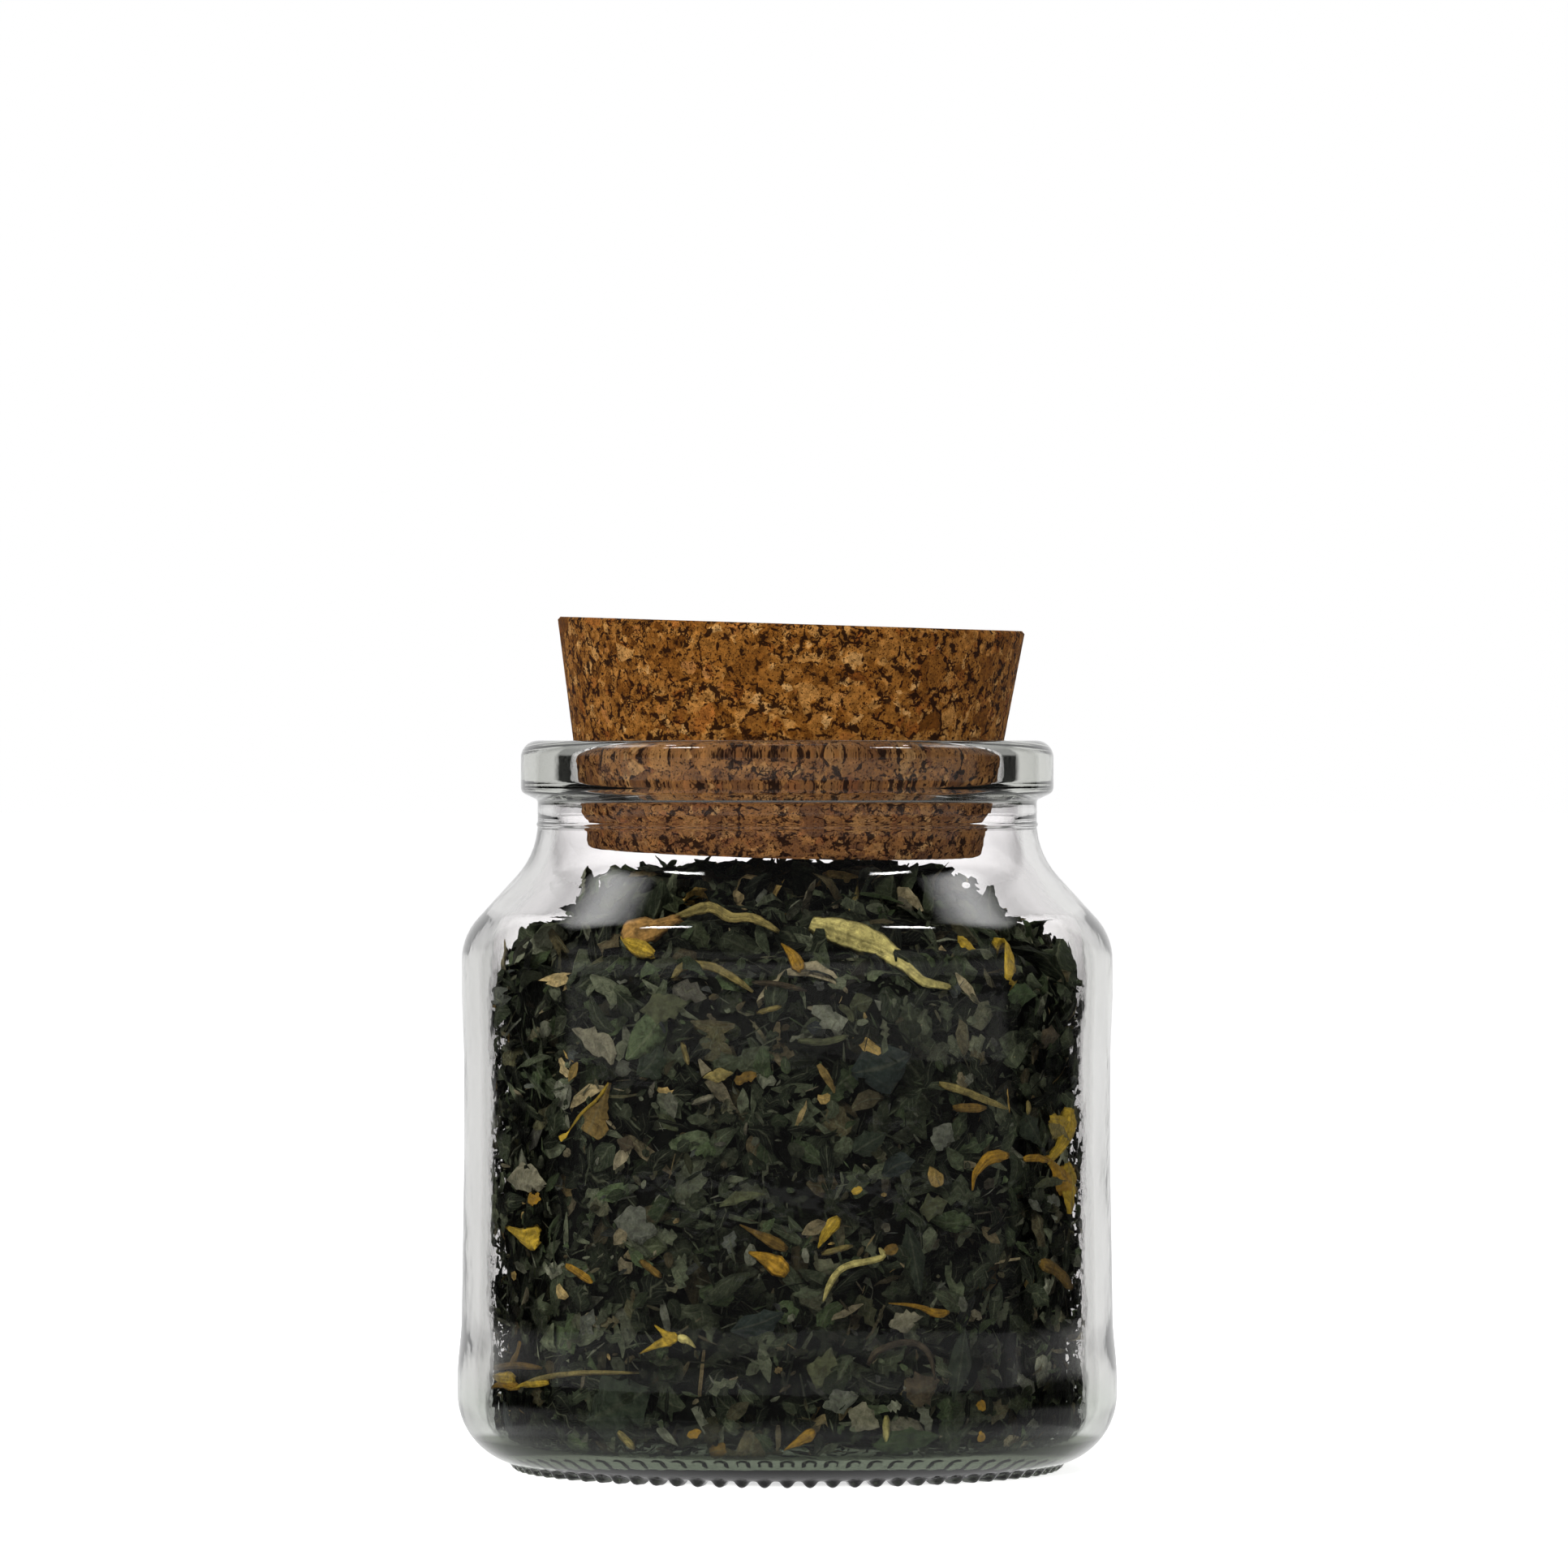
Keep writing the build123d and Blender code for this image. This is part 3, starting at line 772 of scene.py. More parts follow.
# filling: shared looks
bladeLookSet = {
    "spots": 0.8, "spotSpread": 2.0, "slant": 0.9, "veinColour": (0.07, 0.075, 0.045, 1),
    # the wrinkles' colour range is painted shade in their troughs and painted light on their ridges
    "wrinkleNoise": (0.9, 3.0, 0.6, 0.6), "paintedWrinkleShade": (0.36, 0.62, 0.66, 1.26),
    "bumpStrength": 0.6, "bumpDistance": 0.0004, "roughness": 0.75,
}
leafLookSet = {
    "tones": [(0.0, (0.002, 0.0023, 0.0016)), (0.16, (0.006, 0.0075, 0.0045)), (0.36, (0.015, 0.019, 0.0105)),
              (0.56, (0.027, 0.032, 0.018)), (0.68, (0.050, 0.055, 0.034)), (0.74, (0.041, 0.032, 0.016)),
              (0.80, (0.019, 0.026, 0.0125)), (0.87, (0.030, 0.042, 0.018)), (0.92, (0.098, 0.100, 0.070)),
              (0.955, (0.011, 0.014, 0.016)), (0.98, (0.16, 0.135, 0.078)), (1.0, (0.23, 0.15, 0.036))],
    "sideVeins": 6.0, "midribShare": 0.4, "veinShare": 0.16, "veinHeight": 1.5, "wrinkleHeight": 3.0,
    "specular": 0.08,
    # patches darker or lighter at random, and towards the sides painted shade in hollows with painted light
    # on the flakes between them; scales are per mm and sides in mm from the middle
    "driftScale": 0.11, "drift": (0.36, 0.58, 0.55, 1.15),
    "hollowScale": 0.17, "hollow": (0.44, 0.54, 0.85, -0.6), "sides": (23.0, 33.0),
}
petalLookSet = {
    "sideVeins": 3.0, "midribShare": 0.3, "veinShare": 0.1, "wrinkleHeight": 1.5, "specular": 0.2,
    "fibreStretch": (1.4, 6.5, 1.0), "fibreDrift": 0.12, "fibres": (0.34, 0.62, 0.66, 1.16),
    "fibreHeight": 0.8,
}
# the core's near-black colour is painted shade for the depths between the flakes
coreLookSet = {"spots": 0.35, "spotSpread": 2.2, "colour": (0.004, 0.0045, 0.003, 1), "bumpStrength": 0.8,
               "bumpDistance": 0.0008, "roughness": 0.9, "specular": 0.1}


def veinMarks(tree, lines, look):
    midrib = times(tree, lines["Midrib"], look["midribShare"])
    return sums(tree, "MAXIMUM", midrib, times(tree, lines["Vein"], look["veinShare"]))


# a leaf's colour from its tone, with painted shade further in and painted light at the front from its layer's
# shade, random darker patches and painted side shading; it takes what petalCoat takes
def leafCoat(tree, spot, spots, lines, map2d):
    look = leafLookSet
    base = ramp(tree, attributeOf(tree, "flakeTone")["Fac"], look["tones"])
    base = dimmed(tree, base, spots["Brightness"])
    marks = veinMarks(tree, lines, look)
    base = blendColour(tree, marks, base, bladeLookSet["veinColour"])
    drift = ranged(tree, noiseOf(tree, spot, look["driftScale"])[0], *look["drift"])
    # painted shade in hollows towards the sides, and painted light on the flakes between them
    sideways = ranged(tree, sums(tree, "ABSOLUTE", axesOf(tree, spot)[0]), *look["sides"])
    hollow = ranged(tree, noiseOf(tree, spot, look["hollowScale"])[0], *look["hollow"])
    drift = times(tree, drift, minus(tree, 1.0, times(tree, hollow, sideways)))
    # the layer's shade: painted shade for the deeper layers, painted light for the front and crown
    base = dimmed(tree, base, times(tree, drift, attributeOf(tree, "flakeShade")["Fac"]))
    return base, plus(tree, times(tree, marks, look["veinHeight"]), spots["Height"])


# a petal's colour from its tint, with long fibres; the tint's alpha says how fibrous it is
def petalCoat(tree, spot, spots, lines, map2d):
    look = petalLookSet
    tint = attributeOf(tree, "flakeTint")
    base = dimmed(tree, tint["Color"], spots["Brightness"])
    fibre = place(tree, "ShaderNodeMapping", {0: map2d, 3: look["fibreStretch"]}).outputs[0]
    drift = vectorSum(tree, "SCALE", {0: spot, 3: look["fibreDrift"]}).outputs[0]
    fibre = noiseOf(tree, vectorSum(tree, "ADD", {0: fibre, 1: drift}).outputs[0], 1.0)[0]
    stripes = mixed(tree, tint["Alpha"], 1.0, ranged(tree, fibre, *look["fibres"]))
    base = dimmed(tree, base, stripes)
    marks = times(tree, veinMarks(tree, lines, look), minus(tree, 1.0, tint["Alpha"]))
    base = blendColour(tree, marks, base, bladeLookSet["veinColour"])
    return base, plus(tree, times(tree, stripes, look["fibreHeight"]), spots["Height"])


def bladeMaterial(name, coat, look):
    shared = bladeLookSet
    material, tree = newMaterial(name)
    spot = inMillimetres(tree)
    map2d = place(tree, "ShaderNodeUVMap", uv_map="leafUV").outputs[0]
    lines = grouped(tree, veins, {"UV": map2d, "Side Veins": look["sideVeins"], "Slant": shared["slant"]})
    spots = mottled(tree, spot, shared["spots"], shared["spotSpread"])
    base, height = coat(tree, spot, spots, lines, map2d)
    wrinkle = noiseOf(tree, spot, *shared["wrinkleNoise"])[0]
    # painted shade and light: darker in the wrinkles' troughs, lighter on their ridges
    base = dimmed(tree, base, ranged(tree, wrinkle, *shared["paintedWrinkleShade"]))
    height = plus(tree, height, times(tree, wrinkle, look["wrinkleHeight"]))
    finishSurface(tree, base, height, {**shared, **look})
    return material


# the core is painted shade, nearly black
def coreMaterial():
    look = coreLookSet
    material, tree = newMaterial("deepLeaf")
    spots = mottled(tree, inMillimetres(tree), look["spots"], look["spotSpread"])
    finishSurface(tree, dimmed(tree, look["colour"], spots["Brightness"]), spots["Height"], look)
    return material


leafLook = bladeMaterial("driedLeaf", leafCoat, leafLookSet)
petalLook = bladeMaterial("driedPetal", petalCoat, petalLookSet)


# filling: the heap
heapSet = {
    "radius": 37.6, "foot": 4, "footLevel": 3.9, "footFrom": 0.1, "footSteps": 6, "floorStep": 2.5,
    "floorReach": 31.5,
    "sideFrom": 10, "step": 2.0, "sideShort": 0.6, "crownInset": 0.9, "segments": 96, "crownSegments": 60,
    "bumps": 0.6, "bumpNoise": 0.16,
    "line": [(37.6, 61.4), (36.9, 62.8), (35.4, 63.9), (32.6, 64.8), (30.2, 65.8), (28.2, 67.4), (27.2, 69.8),
             (26.2, 71.4), (23.6, 72.6), (16.0, 73.2), (8.0, 73.3), (0.0, 73.4)],
    "crown": [(36.9, 61.8), (34.6, 63.4), (31.4, 64.4), (29.2, 65.8), (28.0, 68.0), (27.0, 70.2),
              (25.6, 71.4), (22.0, 72.3), (14.0, 72.9), (6.0, 73.0), (0.0, 73.0)],
}
coreSet = {"side": 35.5, "sideTop": 62.9, "top": 70.6, "floor": 5.8, "floorRadii": (0.0, 10.0, 20.0),
           "foot": 5.0, "footFrom": 0.2, "footSteps": 6, "sideFrom": 13, "step": 1.8, "crownSteps": 24,
           "segments": 120, "bumps": 0.5, "bumpNoise": 0.3}
pressSet = {"corkGap": 0.15, "corkShare": 0.5}


def floorAt(radius):
    return floorLevel + dome(radius, glassSet["kick"])


# the quarter turn from a floor to a side, in mm
def footLine(side, level, shape):
    foot = shape["foot"]
    return [(side - foot + foot * math.sin(a), level + foot - foot * math.cos(a))
            for a in np.linspace(shape["footFrom"], math.pi / 2, shape["footSteps"])]


# a turned surface sunk by inset mm under the heap's outside, up to reach or over the crown
def heapSurface(name, inset, bumps, seed, reach=None):
    side = heapSet["radius"] - inset
    sideTop = heapSet["line"][0][1] - heapSet["sideShort"] * heapSet["step"]
    floorRadii = np.arange(heapSet["floorStep"], heapSet["floorReach"], heapSet["floorStep"])
    line = [(r, floorAt(r) + inset) for r in (0.0, *floorRadii)]
    line += footLine(side, heapSet["footLevel"] + inset, heapSet)
    sideEnd = min(reach or sideTop, sideTop)
    line += [(side, z) for z in np.arange(heapSet["sideFrom"], sideEnd, heapSet["step"])]
    if reach is None:
        line += [(max(0.0, r - inset), z - inset * heapSet["crownInset"]) for r, z in heapSet["line"]]
    mesh = turnedMesh(name, [(float(r), float(z), heapSet["segments"]) for r, z in line])
    roughen(mesh, heapSet["bumpNoise"], bumps, seed)
    return mesh


# the top of the heap alone, for the leaves that stand up from it
def crownSurface(name):
    return turnedMesh(name, [(r, z, heapSet["crownSegments"]) for r, z in heapSet["crown"]])


# keeps the filling clear of the glass, the floor and the cork; deeper flakes stop further in
def pressIn(mesh, gap, spread):
    points = pointsOf(mesh)
    depth = np.zeros(len(points), np.float32)
    if "flakeDepth" in mesh.attributes:
        mesh.attributes["flakeDepth"].data.foreach_get("value", depth)
    inset = gap + depth * spread
    radius = np.hypot(points[:, 0], points[:, 1]) / mm
    height = np.maximum(points[:, 2] / mm, floorAt(radius) + inset)
    lid = corkSet["seat"][2] + corkSet["low"] - math.sin(math.radians(corkSet["leanY"])) * points[:, 0] / mm
    lid += math.sin(math.radians(corkSet["leanX"])) * points[:, 1] / mm
    height = np.minimum(height, lid - pressSet["corkGap"] - inset * pressSet["corkShare"])
    limit = np.interp(height, *insideTable) - inset
    points[:, :2] *= np.minimum(1, limit / np.maximum(radius, 1e-6))[:, None]
    points[:, 2] = height * mm
    setPoints(mesh, points)


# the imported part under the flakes, a little uneven, with a low round crown
def coreSurface():
    side, sideTop, top = coreSet["side"], coreSet["sideTop"], coreSet["top"]
    sphere = (side ** 2 + (top - sideTop) ** 2) / (2 * (top - sideTop))
    line = [(r, coreSet["floor"]) for r in (*coreSet["floorRadii"], side - coreSet["foot"])]
    line += footLine(side, coreSet["floor"], coreSet)
    line += [(side, z) for z in np.arange(coreSet["sideFrom"], sideTop, coreSet["step"])]
    for share in np.linspace(1, 0, coreSet["crownSteps"]):
        line.append((side * share, top - sphere + math.sqrt(sphere ** 2 - (side * share) ** 2)))
    mesh = turnedMesh("leafCore", [(float(r), float(z), coreSet["segments"]) for r, z in line])
    roughen(mesh, coreSet["bumpNoise"], coreSet["bumps"])
    return mesh


def makeCore():
    core = asObject("leafCore", coreSurface(), coreMaterial())
    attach(core, "jar")
    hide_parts("leaf_fill")


makeCore()


# filling: flakes
flakeOrder = ((0, 0), (1, 0), (1, 1), (0, 1))
laidOrder = ((0, 0), (0, 1), (1, 1), (1, 0))


# a thin closed blade from rows of (place in mm, outward direction, place on the UV map)
# its two faces share their rim; order says which way round a face's corners go
def closedBlade(grid, uv, rows, thick, order):
    corner, made = {}, []
    lastRow, lastColumn = len(rows) - 1, len(rows[0]) - 1
    for side in (1, -1):
        for i, row in enumerate(rows):
            for j, (spot, out, place2d) in enumerate(row):
                rim = i in (0, lastRow) or j in (0, lastColumn)
                if rim and side == -1:
                    corner[(side, i, j)] = corner[(1, i, j)]
                    continue
                lift = 0 if rim else side * thick / 2
                corner[(side, i, j)] = (grid.verts.new((spot + out * lift) * mm), place2d)
    for side in (1, -1):
        for i in range(lastRow):
            for j in range(lastColumn):
                loop = [corner[(side, i + a, j + b)] for a, b in order][::side]
                face = grid.faces.new([vertex for vertex, place2d in loop])
                for link, (vertex, place2d) in zip(face.loops, loop):
                    link[uv].uv = place2d
                made.append(face)
    return made


# a flake from rows of (along, left, right, lift, camber) in mm
def bladeShape(name, rows, across=3, thick=0.10, twist=0.0):
    grid = bmesh.new()
    uv = grid.loops.layers.uv.new("leafUV")
    start, length = rows[0][0], rows[-1][0] - rows[0][0]
    spots = []
    for along, left, right, lift, camber in rows:
        turn = twist * (along - start) / length
        out = Vector((0, -math.sin(turn), math.cos(turn)))
        row = []
        for j in range(across + 1):
            share = j / across
            y = left + (right - left) * share
            z = lift + camber * (1 - (2 * share - 1) ** 2)
            spot = (along, y * math.cos(turn) - z * math.sin(turn), y * math.sin(turn) + z * math.cos(turn))
            row.append((Vector(spot), out, ((along - start) / length, share)))
        spots.append(row)
    closedBlade(grid, uv, spots, thick, flakeOrder)
    mesh = bpy.data.meshes.new(name)
    grid.normal_update()
    grid.to_mesh(mesh)
    grid.free()
    return mesh


flakeShapes = {
    "broadLeaf": dict(across=4, rows=[
        (-2.6, -0.25, 0.35, 0, 0), (-1.5, -1.35, 1.0, 0.35, 0.3), (-0.3, -1.5, 1.6, 0.25, 0.5),
        (1.1, -1.3, 1.2, 0.4, 0.3), (2.8, -0.1, 0.2, -0.2, 0)]),
    "narrowLeaf": dict(across=2, twist=0.9, rows=[
        (-3.2, -0.12, 0.12, 0, 0), (-1.5, -0.75, 0.5, 0.35, 0.25), (0.3, -0.65, 0.75, 0.25, 0.4),
        (1.9, -0.5, 0.4, 0.2, 0.1), (3.4, -0.06, 0.06, -0.3, 0)]),
    "tornLeaf": dict(across=3, rows=[
        (-1.9, -1.7, -0.1, 0, 0), (-1.2, -1.9, 0.6, 0.4, 0.1), (-0.3, -0.9, 1.7, 0.1, 0.5),
        (0.6, -1.5, 1.1, 0.5, 0.1), (1.3, -0.7, 1.3, 0.0, 0.4), (2.3, -0.3, 0.7, 0.1, 0)]),
    "raggedChip": dict(across=2, rows=[
        (-1.4, -0.9, 0.3, 0.1, 0), (-0.6, -1.3, 1.1, 0.3, 0.1), (0.5, -0.7, 1.2, 0.0, 0.3),
        (1.5, -0.8, 0.15, 0.3, 0)]),
    "curledStrip": dict(across=3, twist=-0.8, rows=[
        (-2.6, -0.3, 0.4, 0, 0.1), (-1.0, -0.6, 0.75, 0.3, 0.8), (0.5, -0.7, 0.6, 0.45, 0.95),
        (1.7, -0.45, 0.6, 0.3, 0.7), (2.8, -0.2, 0.15, 0, 0.2)]),
    "foldedLeaf": dict(across=2, rows=[
        (-2.4, -0.2, 0.15, 0, 0), (-1.0, -1.0, 0.85, 0.1, 0.9), (0.4, -1.1, 1.15, 0.2, 1.15),
        (1.5, -0.75, 0.6, 0.0, 0.8), (2.6, -0.1, 0.1, 0, 0)]),
    "stalk": dict(across=2, thick=0.24, rows=[
        (-3.2, -0.12, 0.12, 0, 0), (-1.2, -0.17, 0.15, 0.3, 0.15), (0.8, -0.15, 0.16, 0.45, 0.15),
        (3.0, -0.1, 0.1, 0.1, 0)]),
    "toothedLeaf": dict(across=2, rows=[
        (-2.5, -0.2, 0.2, 0, 0), (-1.6, -1.45, 0.7, 0.35, 0.1), (-1.0, -0.8, 1.55, 0.1, 0.4),
        (-0.1, -1.7, 0.95, 0.45, 0.2), (0.6, -0.8, 1.5, 0.2, 0.4), (1.5, -1.15, 0.55, 0.25, 0.1),
        (2.6, -0.05, 0.1, -0.1, 0)]),
    "crumpledLeaf": dict(across=3, twist=0.4, rows=[
        (-1.9, -0.5, 0.6, 0.2, 0), (-1.1, -1.5, 1.3, -0.2, 0.5), (-0.2, -1.2, 1.7, 0.55, -0.3),
        (0.8, -1.6, 1.2, -0.1, 0.6), (1.9, -0.6, 0.4, 0.3, 0)]),
    "halfLeaf": dict(across=2, rows=[
        (-2.2, -0.1, 0.5, 0, 0), (-1.1, -0.15, 1.7, 0.2, 0.2), (0.2, -0.2, 1.9, 0.5, 0.1),
        (1.4, -0.1, 1.1, 0.2, 0.3), (2.5, -0.1, 0.15, 0, 0)]),
}
crumbShapes = {
    "crumb": dict(across=2, thick=0.35, rows=[
        (-0.55, -0.25, 0.1, 0, 0), (0.0, -0.4, 0.4, 0.1, 0.3), (0.6, -0.1, 0.25, 0.1, 0)]),
    "grit": dict(across=2, thick=0.2, rows=[
        (-0.8, -0.12, 0.15, 0, 0), (0.1, -0.3, 0.22, 0.15, 0.15), (0.75, -0.05, 0.1, 0, 0)]),
    "splinter": dict(across=2, thick=0.16, rows=[
        (-1.1, -0.05, 0.08, 0, 0), (0.0, -0.14, 0.14, 0.1, 0.1), (1.2, -0.05, 0.04, 0, 0)]),
}
# inset, gap and spread in mm; sizes as times the shape's own; tilt in radians; shade below 1 is painted shade
# for the deeper and rim layers, above 1 painted light for the front wall, crumbs, bits and crown
flakeLayers = {
    "leafWall": dict(inset=0.32, perMetre=125000, sizes=(0.34, 1.38), tilt=0.50, seed=11, gap=0.12,
                     spread=1.1, shade=1.5),
    "leafRim": dict(inset=-0.20, perMetre=85000, sizes=(0.25, 0.75), tilt=0.12, seed=211, gap=0.12,
                    spread=0.35, shade=0.75, reach=60.0, bumps=0.1),
    "leafSecond": dict(inset=1.4, perMetre=100000, sizes=(0.6, 1.6), tilt=0.6, seed=29, gap=1.4, spread=0.9,
                       shade=0.66),
    "leafThird": dict(inset=2.2, perMetre=80000, sizes=(0.8, 1.7), tilt=0.5, seed=47, gap=2.1, spread=0.5,
                      shade=0.26),
    "leafCrumbs": dict(inset=0.8, perMetre=200000, sizes=(0.5, 1.4), tilt=0.7, seed=83, gap=0.3, spread=1.0,
                       shade=1.15, crumbs=True),
    "leafBits": dict(inset=0.35, perMetre=80000, sizes=(0.4, 1.5), tilt=0.6, seed=131, gap=0.12, spread=0.5,
                     shade=1.3, leastTone=0.62, crumbs=True),
    "leafCrown": dict(perMetre=80000, sizes=(0.8, 1.9), tilt=1.35, seed=171, gap=0.5, spread=0.5, shade=1.6,
                      crown=True),
}
scatterSet = {"sizeSpread": (0.75, 1.1), "squeeze": ((0.75, 0.7, 0.7), (1.2, 1.25, 1.5))}


def shapeStock(name, shapes):
    stock = bpy.data.collections.new(name)
    for label, shape in shapes.items():
        stock.objects.link(bpy.data.objects.new(label, bladeShape(label, **shape)))
    return stock


# lays flakes on a surface, turned, tilted and sized by chance, each with its tone, shade and depth
def flakeTree():
    tree, given = newGroup("GeometryNodeTree", "scatteredFlakes",
                           {"Geometry": "Geometry", "Shapes": "Collection", "Shape Count": "Int",
                            "Per Square Metre": "Float", "Smallest": "Float", "Largest": "Float",
                            "Tilt": "Float", "Seed": "Int", "Shade": "Float", "Least Tone": "Float",
                            "Finish": "Material"},
                           {"Geometry": "Geometry"})

    # a random value for each flake; offset keeps one draw apart from the next
    def chance(data, low, high, offset):
        seed = plus(tree, given["Seed"], float(offset))
        least, most, out = {"FLOAT_VECTOR": (0, 1, 0), "FLOAT": (2, 3, 1), "INT": (4, 5, 2)}[data]
        made = place(tree, "FunctionNodeRandomValue", {least: low, most: high, "Seed": seed}, data_type=data)
        return made.outputs[out]

    def stored(geometry, name, value):
        inputs = {"Geometry": geometry, "Name": name, "Value": value}
        fields = {"data_type": "FLOAT", "domain": "INSTANCE"}
        return place(tree, "GeometryNodeStoreNamedAttribute", inputs, **fields).outputs[0]

    def turned(start, turn):
        inputs = {0: start, 1: place(tree, "FunctionNodeEulerToRotation", {0: turn}).outputs[0]}
        return place(tree, "FunctionNodeRotateRotation", inputs, rotation_space="LOCAL").outputs[0]

    points = place(tree, "GeometryNodeDistributePointsOnFaces",
                   {"Mesh": given["Geometry"], "Density": given["Per Square Metre"],
                    "Seed": given["Seed"]}).outputs
    less = times(tree, given["Tilt"], -1.0)
    least = place(tree, "ShaderNodeCombineXYZ", {0: less, 1: less}).outputs[0]
    most = place(tree, "ShaderNodeCombineXYZ", {0: given["Tilt"], 1: given["Tilt"]}).outputs[0]
    way = turned(points["Rotation"], chance("FLOAT_VECTOR", (0, 0, -math.pi), (0, 0, math.pi), 1))
    way = turned(way, chance("FLOAT_VECTOR", least, most, 2))
    size = chance("FLOAT", given["Smallest"], given["Largest"], 3)
    size = times(tree, size, chance("FLOAT", *scatterSet["sizeSpread"], 4))
    squeeze = chance("FLOAT_VECTOR", *scatterSet["squeeze"], 5)
    scale = vectorSum(tree, "SCALE", {0: squeeze, 3: size}).outputs[0]
    stock = place(tree, "GeometryNodeCollectionInfo",
                  {"Collection": given["Shapes"], "Separate Children": True, "Reset Children": True})
    pick = chance("INT", 0, minus(tree, given["Shape Count"], 1.0), 6)
    laid = place(tree, "GeometryNodeInstanceOnPoints",
                 {"Points": points["Points"], "Instance": stock.outputs[0], "Pick Instance": True,
                  "Instance Index": pick, "Rotation": way, "Scale": scale}).outputs[0]
    laid = stored(laid, "flakeTone", chance("FLOAT", given["Least Tone"], 1.0, 7))
    laid = stored(laid, "flakeShade", given["Shade"])
    laid = stored(laid, "flakeDepth", chance("FLOAT", 0.0, 1.0, 8))
    solid = place(tree, "GeometryNodeRealizeInstances", {"Geometry": laid}).outputs[0]
    finished = place(tree, "GeometryNodeSetMaterial", {"Geometry": solid, "Material": given["Finish"]})
    place(tree, "NodeGroupOutput", {0: finished.outputs[0]})
    return tree


def flakeSurface(name, layer):
    if "crown" in layer:
        return crownSurface(name)
    bumps = layer.get("bumps", heapSet["bumps"])
    return heapSurface(name, layer["inset"], bumps, layer["seed"], layer.get("reach"))


def makeFlakes():
    flakes, crumbs = shapeStock("flakeShapes", flakeShapes), shapeStock("crumbShapes", crumbShapes)
    tree = flakeTree()
    total = 0
    for name, layer in flakeLayers.items():
        stock = crumbs if "crumbs" in layer else flakes
        smallest, largest = layer["sizes"]
        made = asObject(name, flakeSurface(name, layer))
        useTree(made, tree, {
            "Shapes": stock, "Shape Count": len(stock.objects), "Per Square Metre": float(layer["perMetre"]),
            "Smallest": smallest, "Largest": largest, "Tilt": layer["tilt"], "Seed": layer["seed"],
            "Shade": layer["shade"], "Least Tone": layer.get("leastTone", 0.0), "Finish": leafLook})
        settle(made)
        pressIn(made.data, layer["gap"], layer["spread"])
        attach(made, "jar")
        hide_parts("loose_leaves")
        total += len(made.data.polygons)
        print(" ", name, len(made.data.polygons))
    for stock in (flakes, crumbs):
        for shape in list(stock.objects):
            bpy.data.objects.remove(shape)
        bpy.data.collections.remove(stock)
    return total


print("flakes made", makeFlakes())


# filling: petals and larger leaves seen through the front
# distances in mm; near is how far along the line of sight the search for the glass starts
sightSet = {"near": 1240.0, "reach": 90.0, "steps": 180, "halvings": 24, "slopeStep": 0.05, "glassIor": 1.5,
            "skin": 0.3, "heapAhead": 3.0, "missed": 2}
heapHeights = [0.0] + [z for r, z in heapSet["line"]]
heapRadii = [heapSet["radius"]] + [r for r, z in heapSet["line"]]


# the line of sight of a pixel of the 1932 px frame
def sightLine(px, py):
    half, focal = cameraSet["frameWidth"] / 2, cameraSet["focalPixels"]
    local = Vector(((px - half) / focal, (half - py) / focal, -1.0))
    return Vector(cameraSet["place"]) / mm, (Matrix.Rotation(cameraSet["tilt"], 3, "X") @ local).normalized()


# where a line, in mm, first comes inside a turned surface, and that surface's normal there
def crossing(origin, heading, radiusAt):
    def within(spot):
        return math.hypot(spot.x, spot.y) < radiusAt(spot.z)

    before = 0.0
    for k in range(sightSet["steps"] + 1):
        t = sightSet["reach"] * k / sightSet["steps"]
        spot = origin + heading * t
        if within(spot):
            for _ in range(sightSet["halvings"]):
                middle = (before + t) / 2
                spot = origin + heading * middle
                before, t = (before, middle) if within(spot) else (middle, t)
            near = sightSet["slopeStep"]
            slope = (radiusAt(spot.z + near) - radiusAt(spot.z - near)) / (2 * near)
            return spot, Vector((spot.x, spot.y, -slope * math.hypot(spot.x, spot.y))).normalized()
        before = t
    return None, None


def bentBy(heading, normal, ratio):
    cosine = -heading.dot(normal)
    rest = 1 - ratio * ratio * (1 - cosine * cosine)
    if rest <= 0:
        return heading
    return (heading * ratio + normal * (ratio * cosine - math.sqrt(rest))).normalized()


# the place in the filling that a pixel shows, seen through the wall of glass
def throughGlass(px, py, depth):
    def fillingAt(z):
        return min(insideAt(z), float(np.interp(z, heapHeights, heapRadii)) + sightSet["heapAhead"]) - depth

    origin, heading = sightLine(px, py)
    origin = origin + heading * sightSet["near"]
    outer, normal = crossing(origin, heading, outsideAt)
    if outer is None:
        return None
    heading = bentBy(heading, normal, 1 / sightSet["glassIor"])
    inner, normal = crossing(outer + heading * sightSet["skin"], heading, insideAt)
    if inner is None:
        return None
    heading = bentBy(heading, normal, sightSet["glassIor"])
    spot, normal = crossing(inner, heading, fillingAt)
    return spot if spot is not None else inner + heading * sightSet["missed"]


tints = {
    "lemon": (0.36, 0.31, 0.105), "yellow": (0.31, 0.205, 0.018), "orange": (0.23, 0.125, 0.010),
    "apricot": (0.30, 0.165, 0.045), "amber": (0.115, 0.068, 0.012), "straw": (0.165, 0.13, 0.04),
    "beige": (0.13, 0.12, 0.078), "tan": (0.115, 0.075, 0.020), "olive": (0.050, 0.054, 0.025),
    "brown": (0.045, 0.034, 0.019), "green": (0.016, 0.022, 0.0125), "bright": (0.028, 0.043, 0.016),
    "pale": (0.074, 0.078, 0.058), "teal": (0.014, 0.020, 0.0165),
}
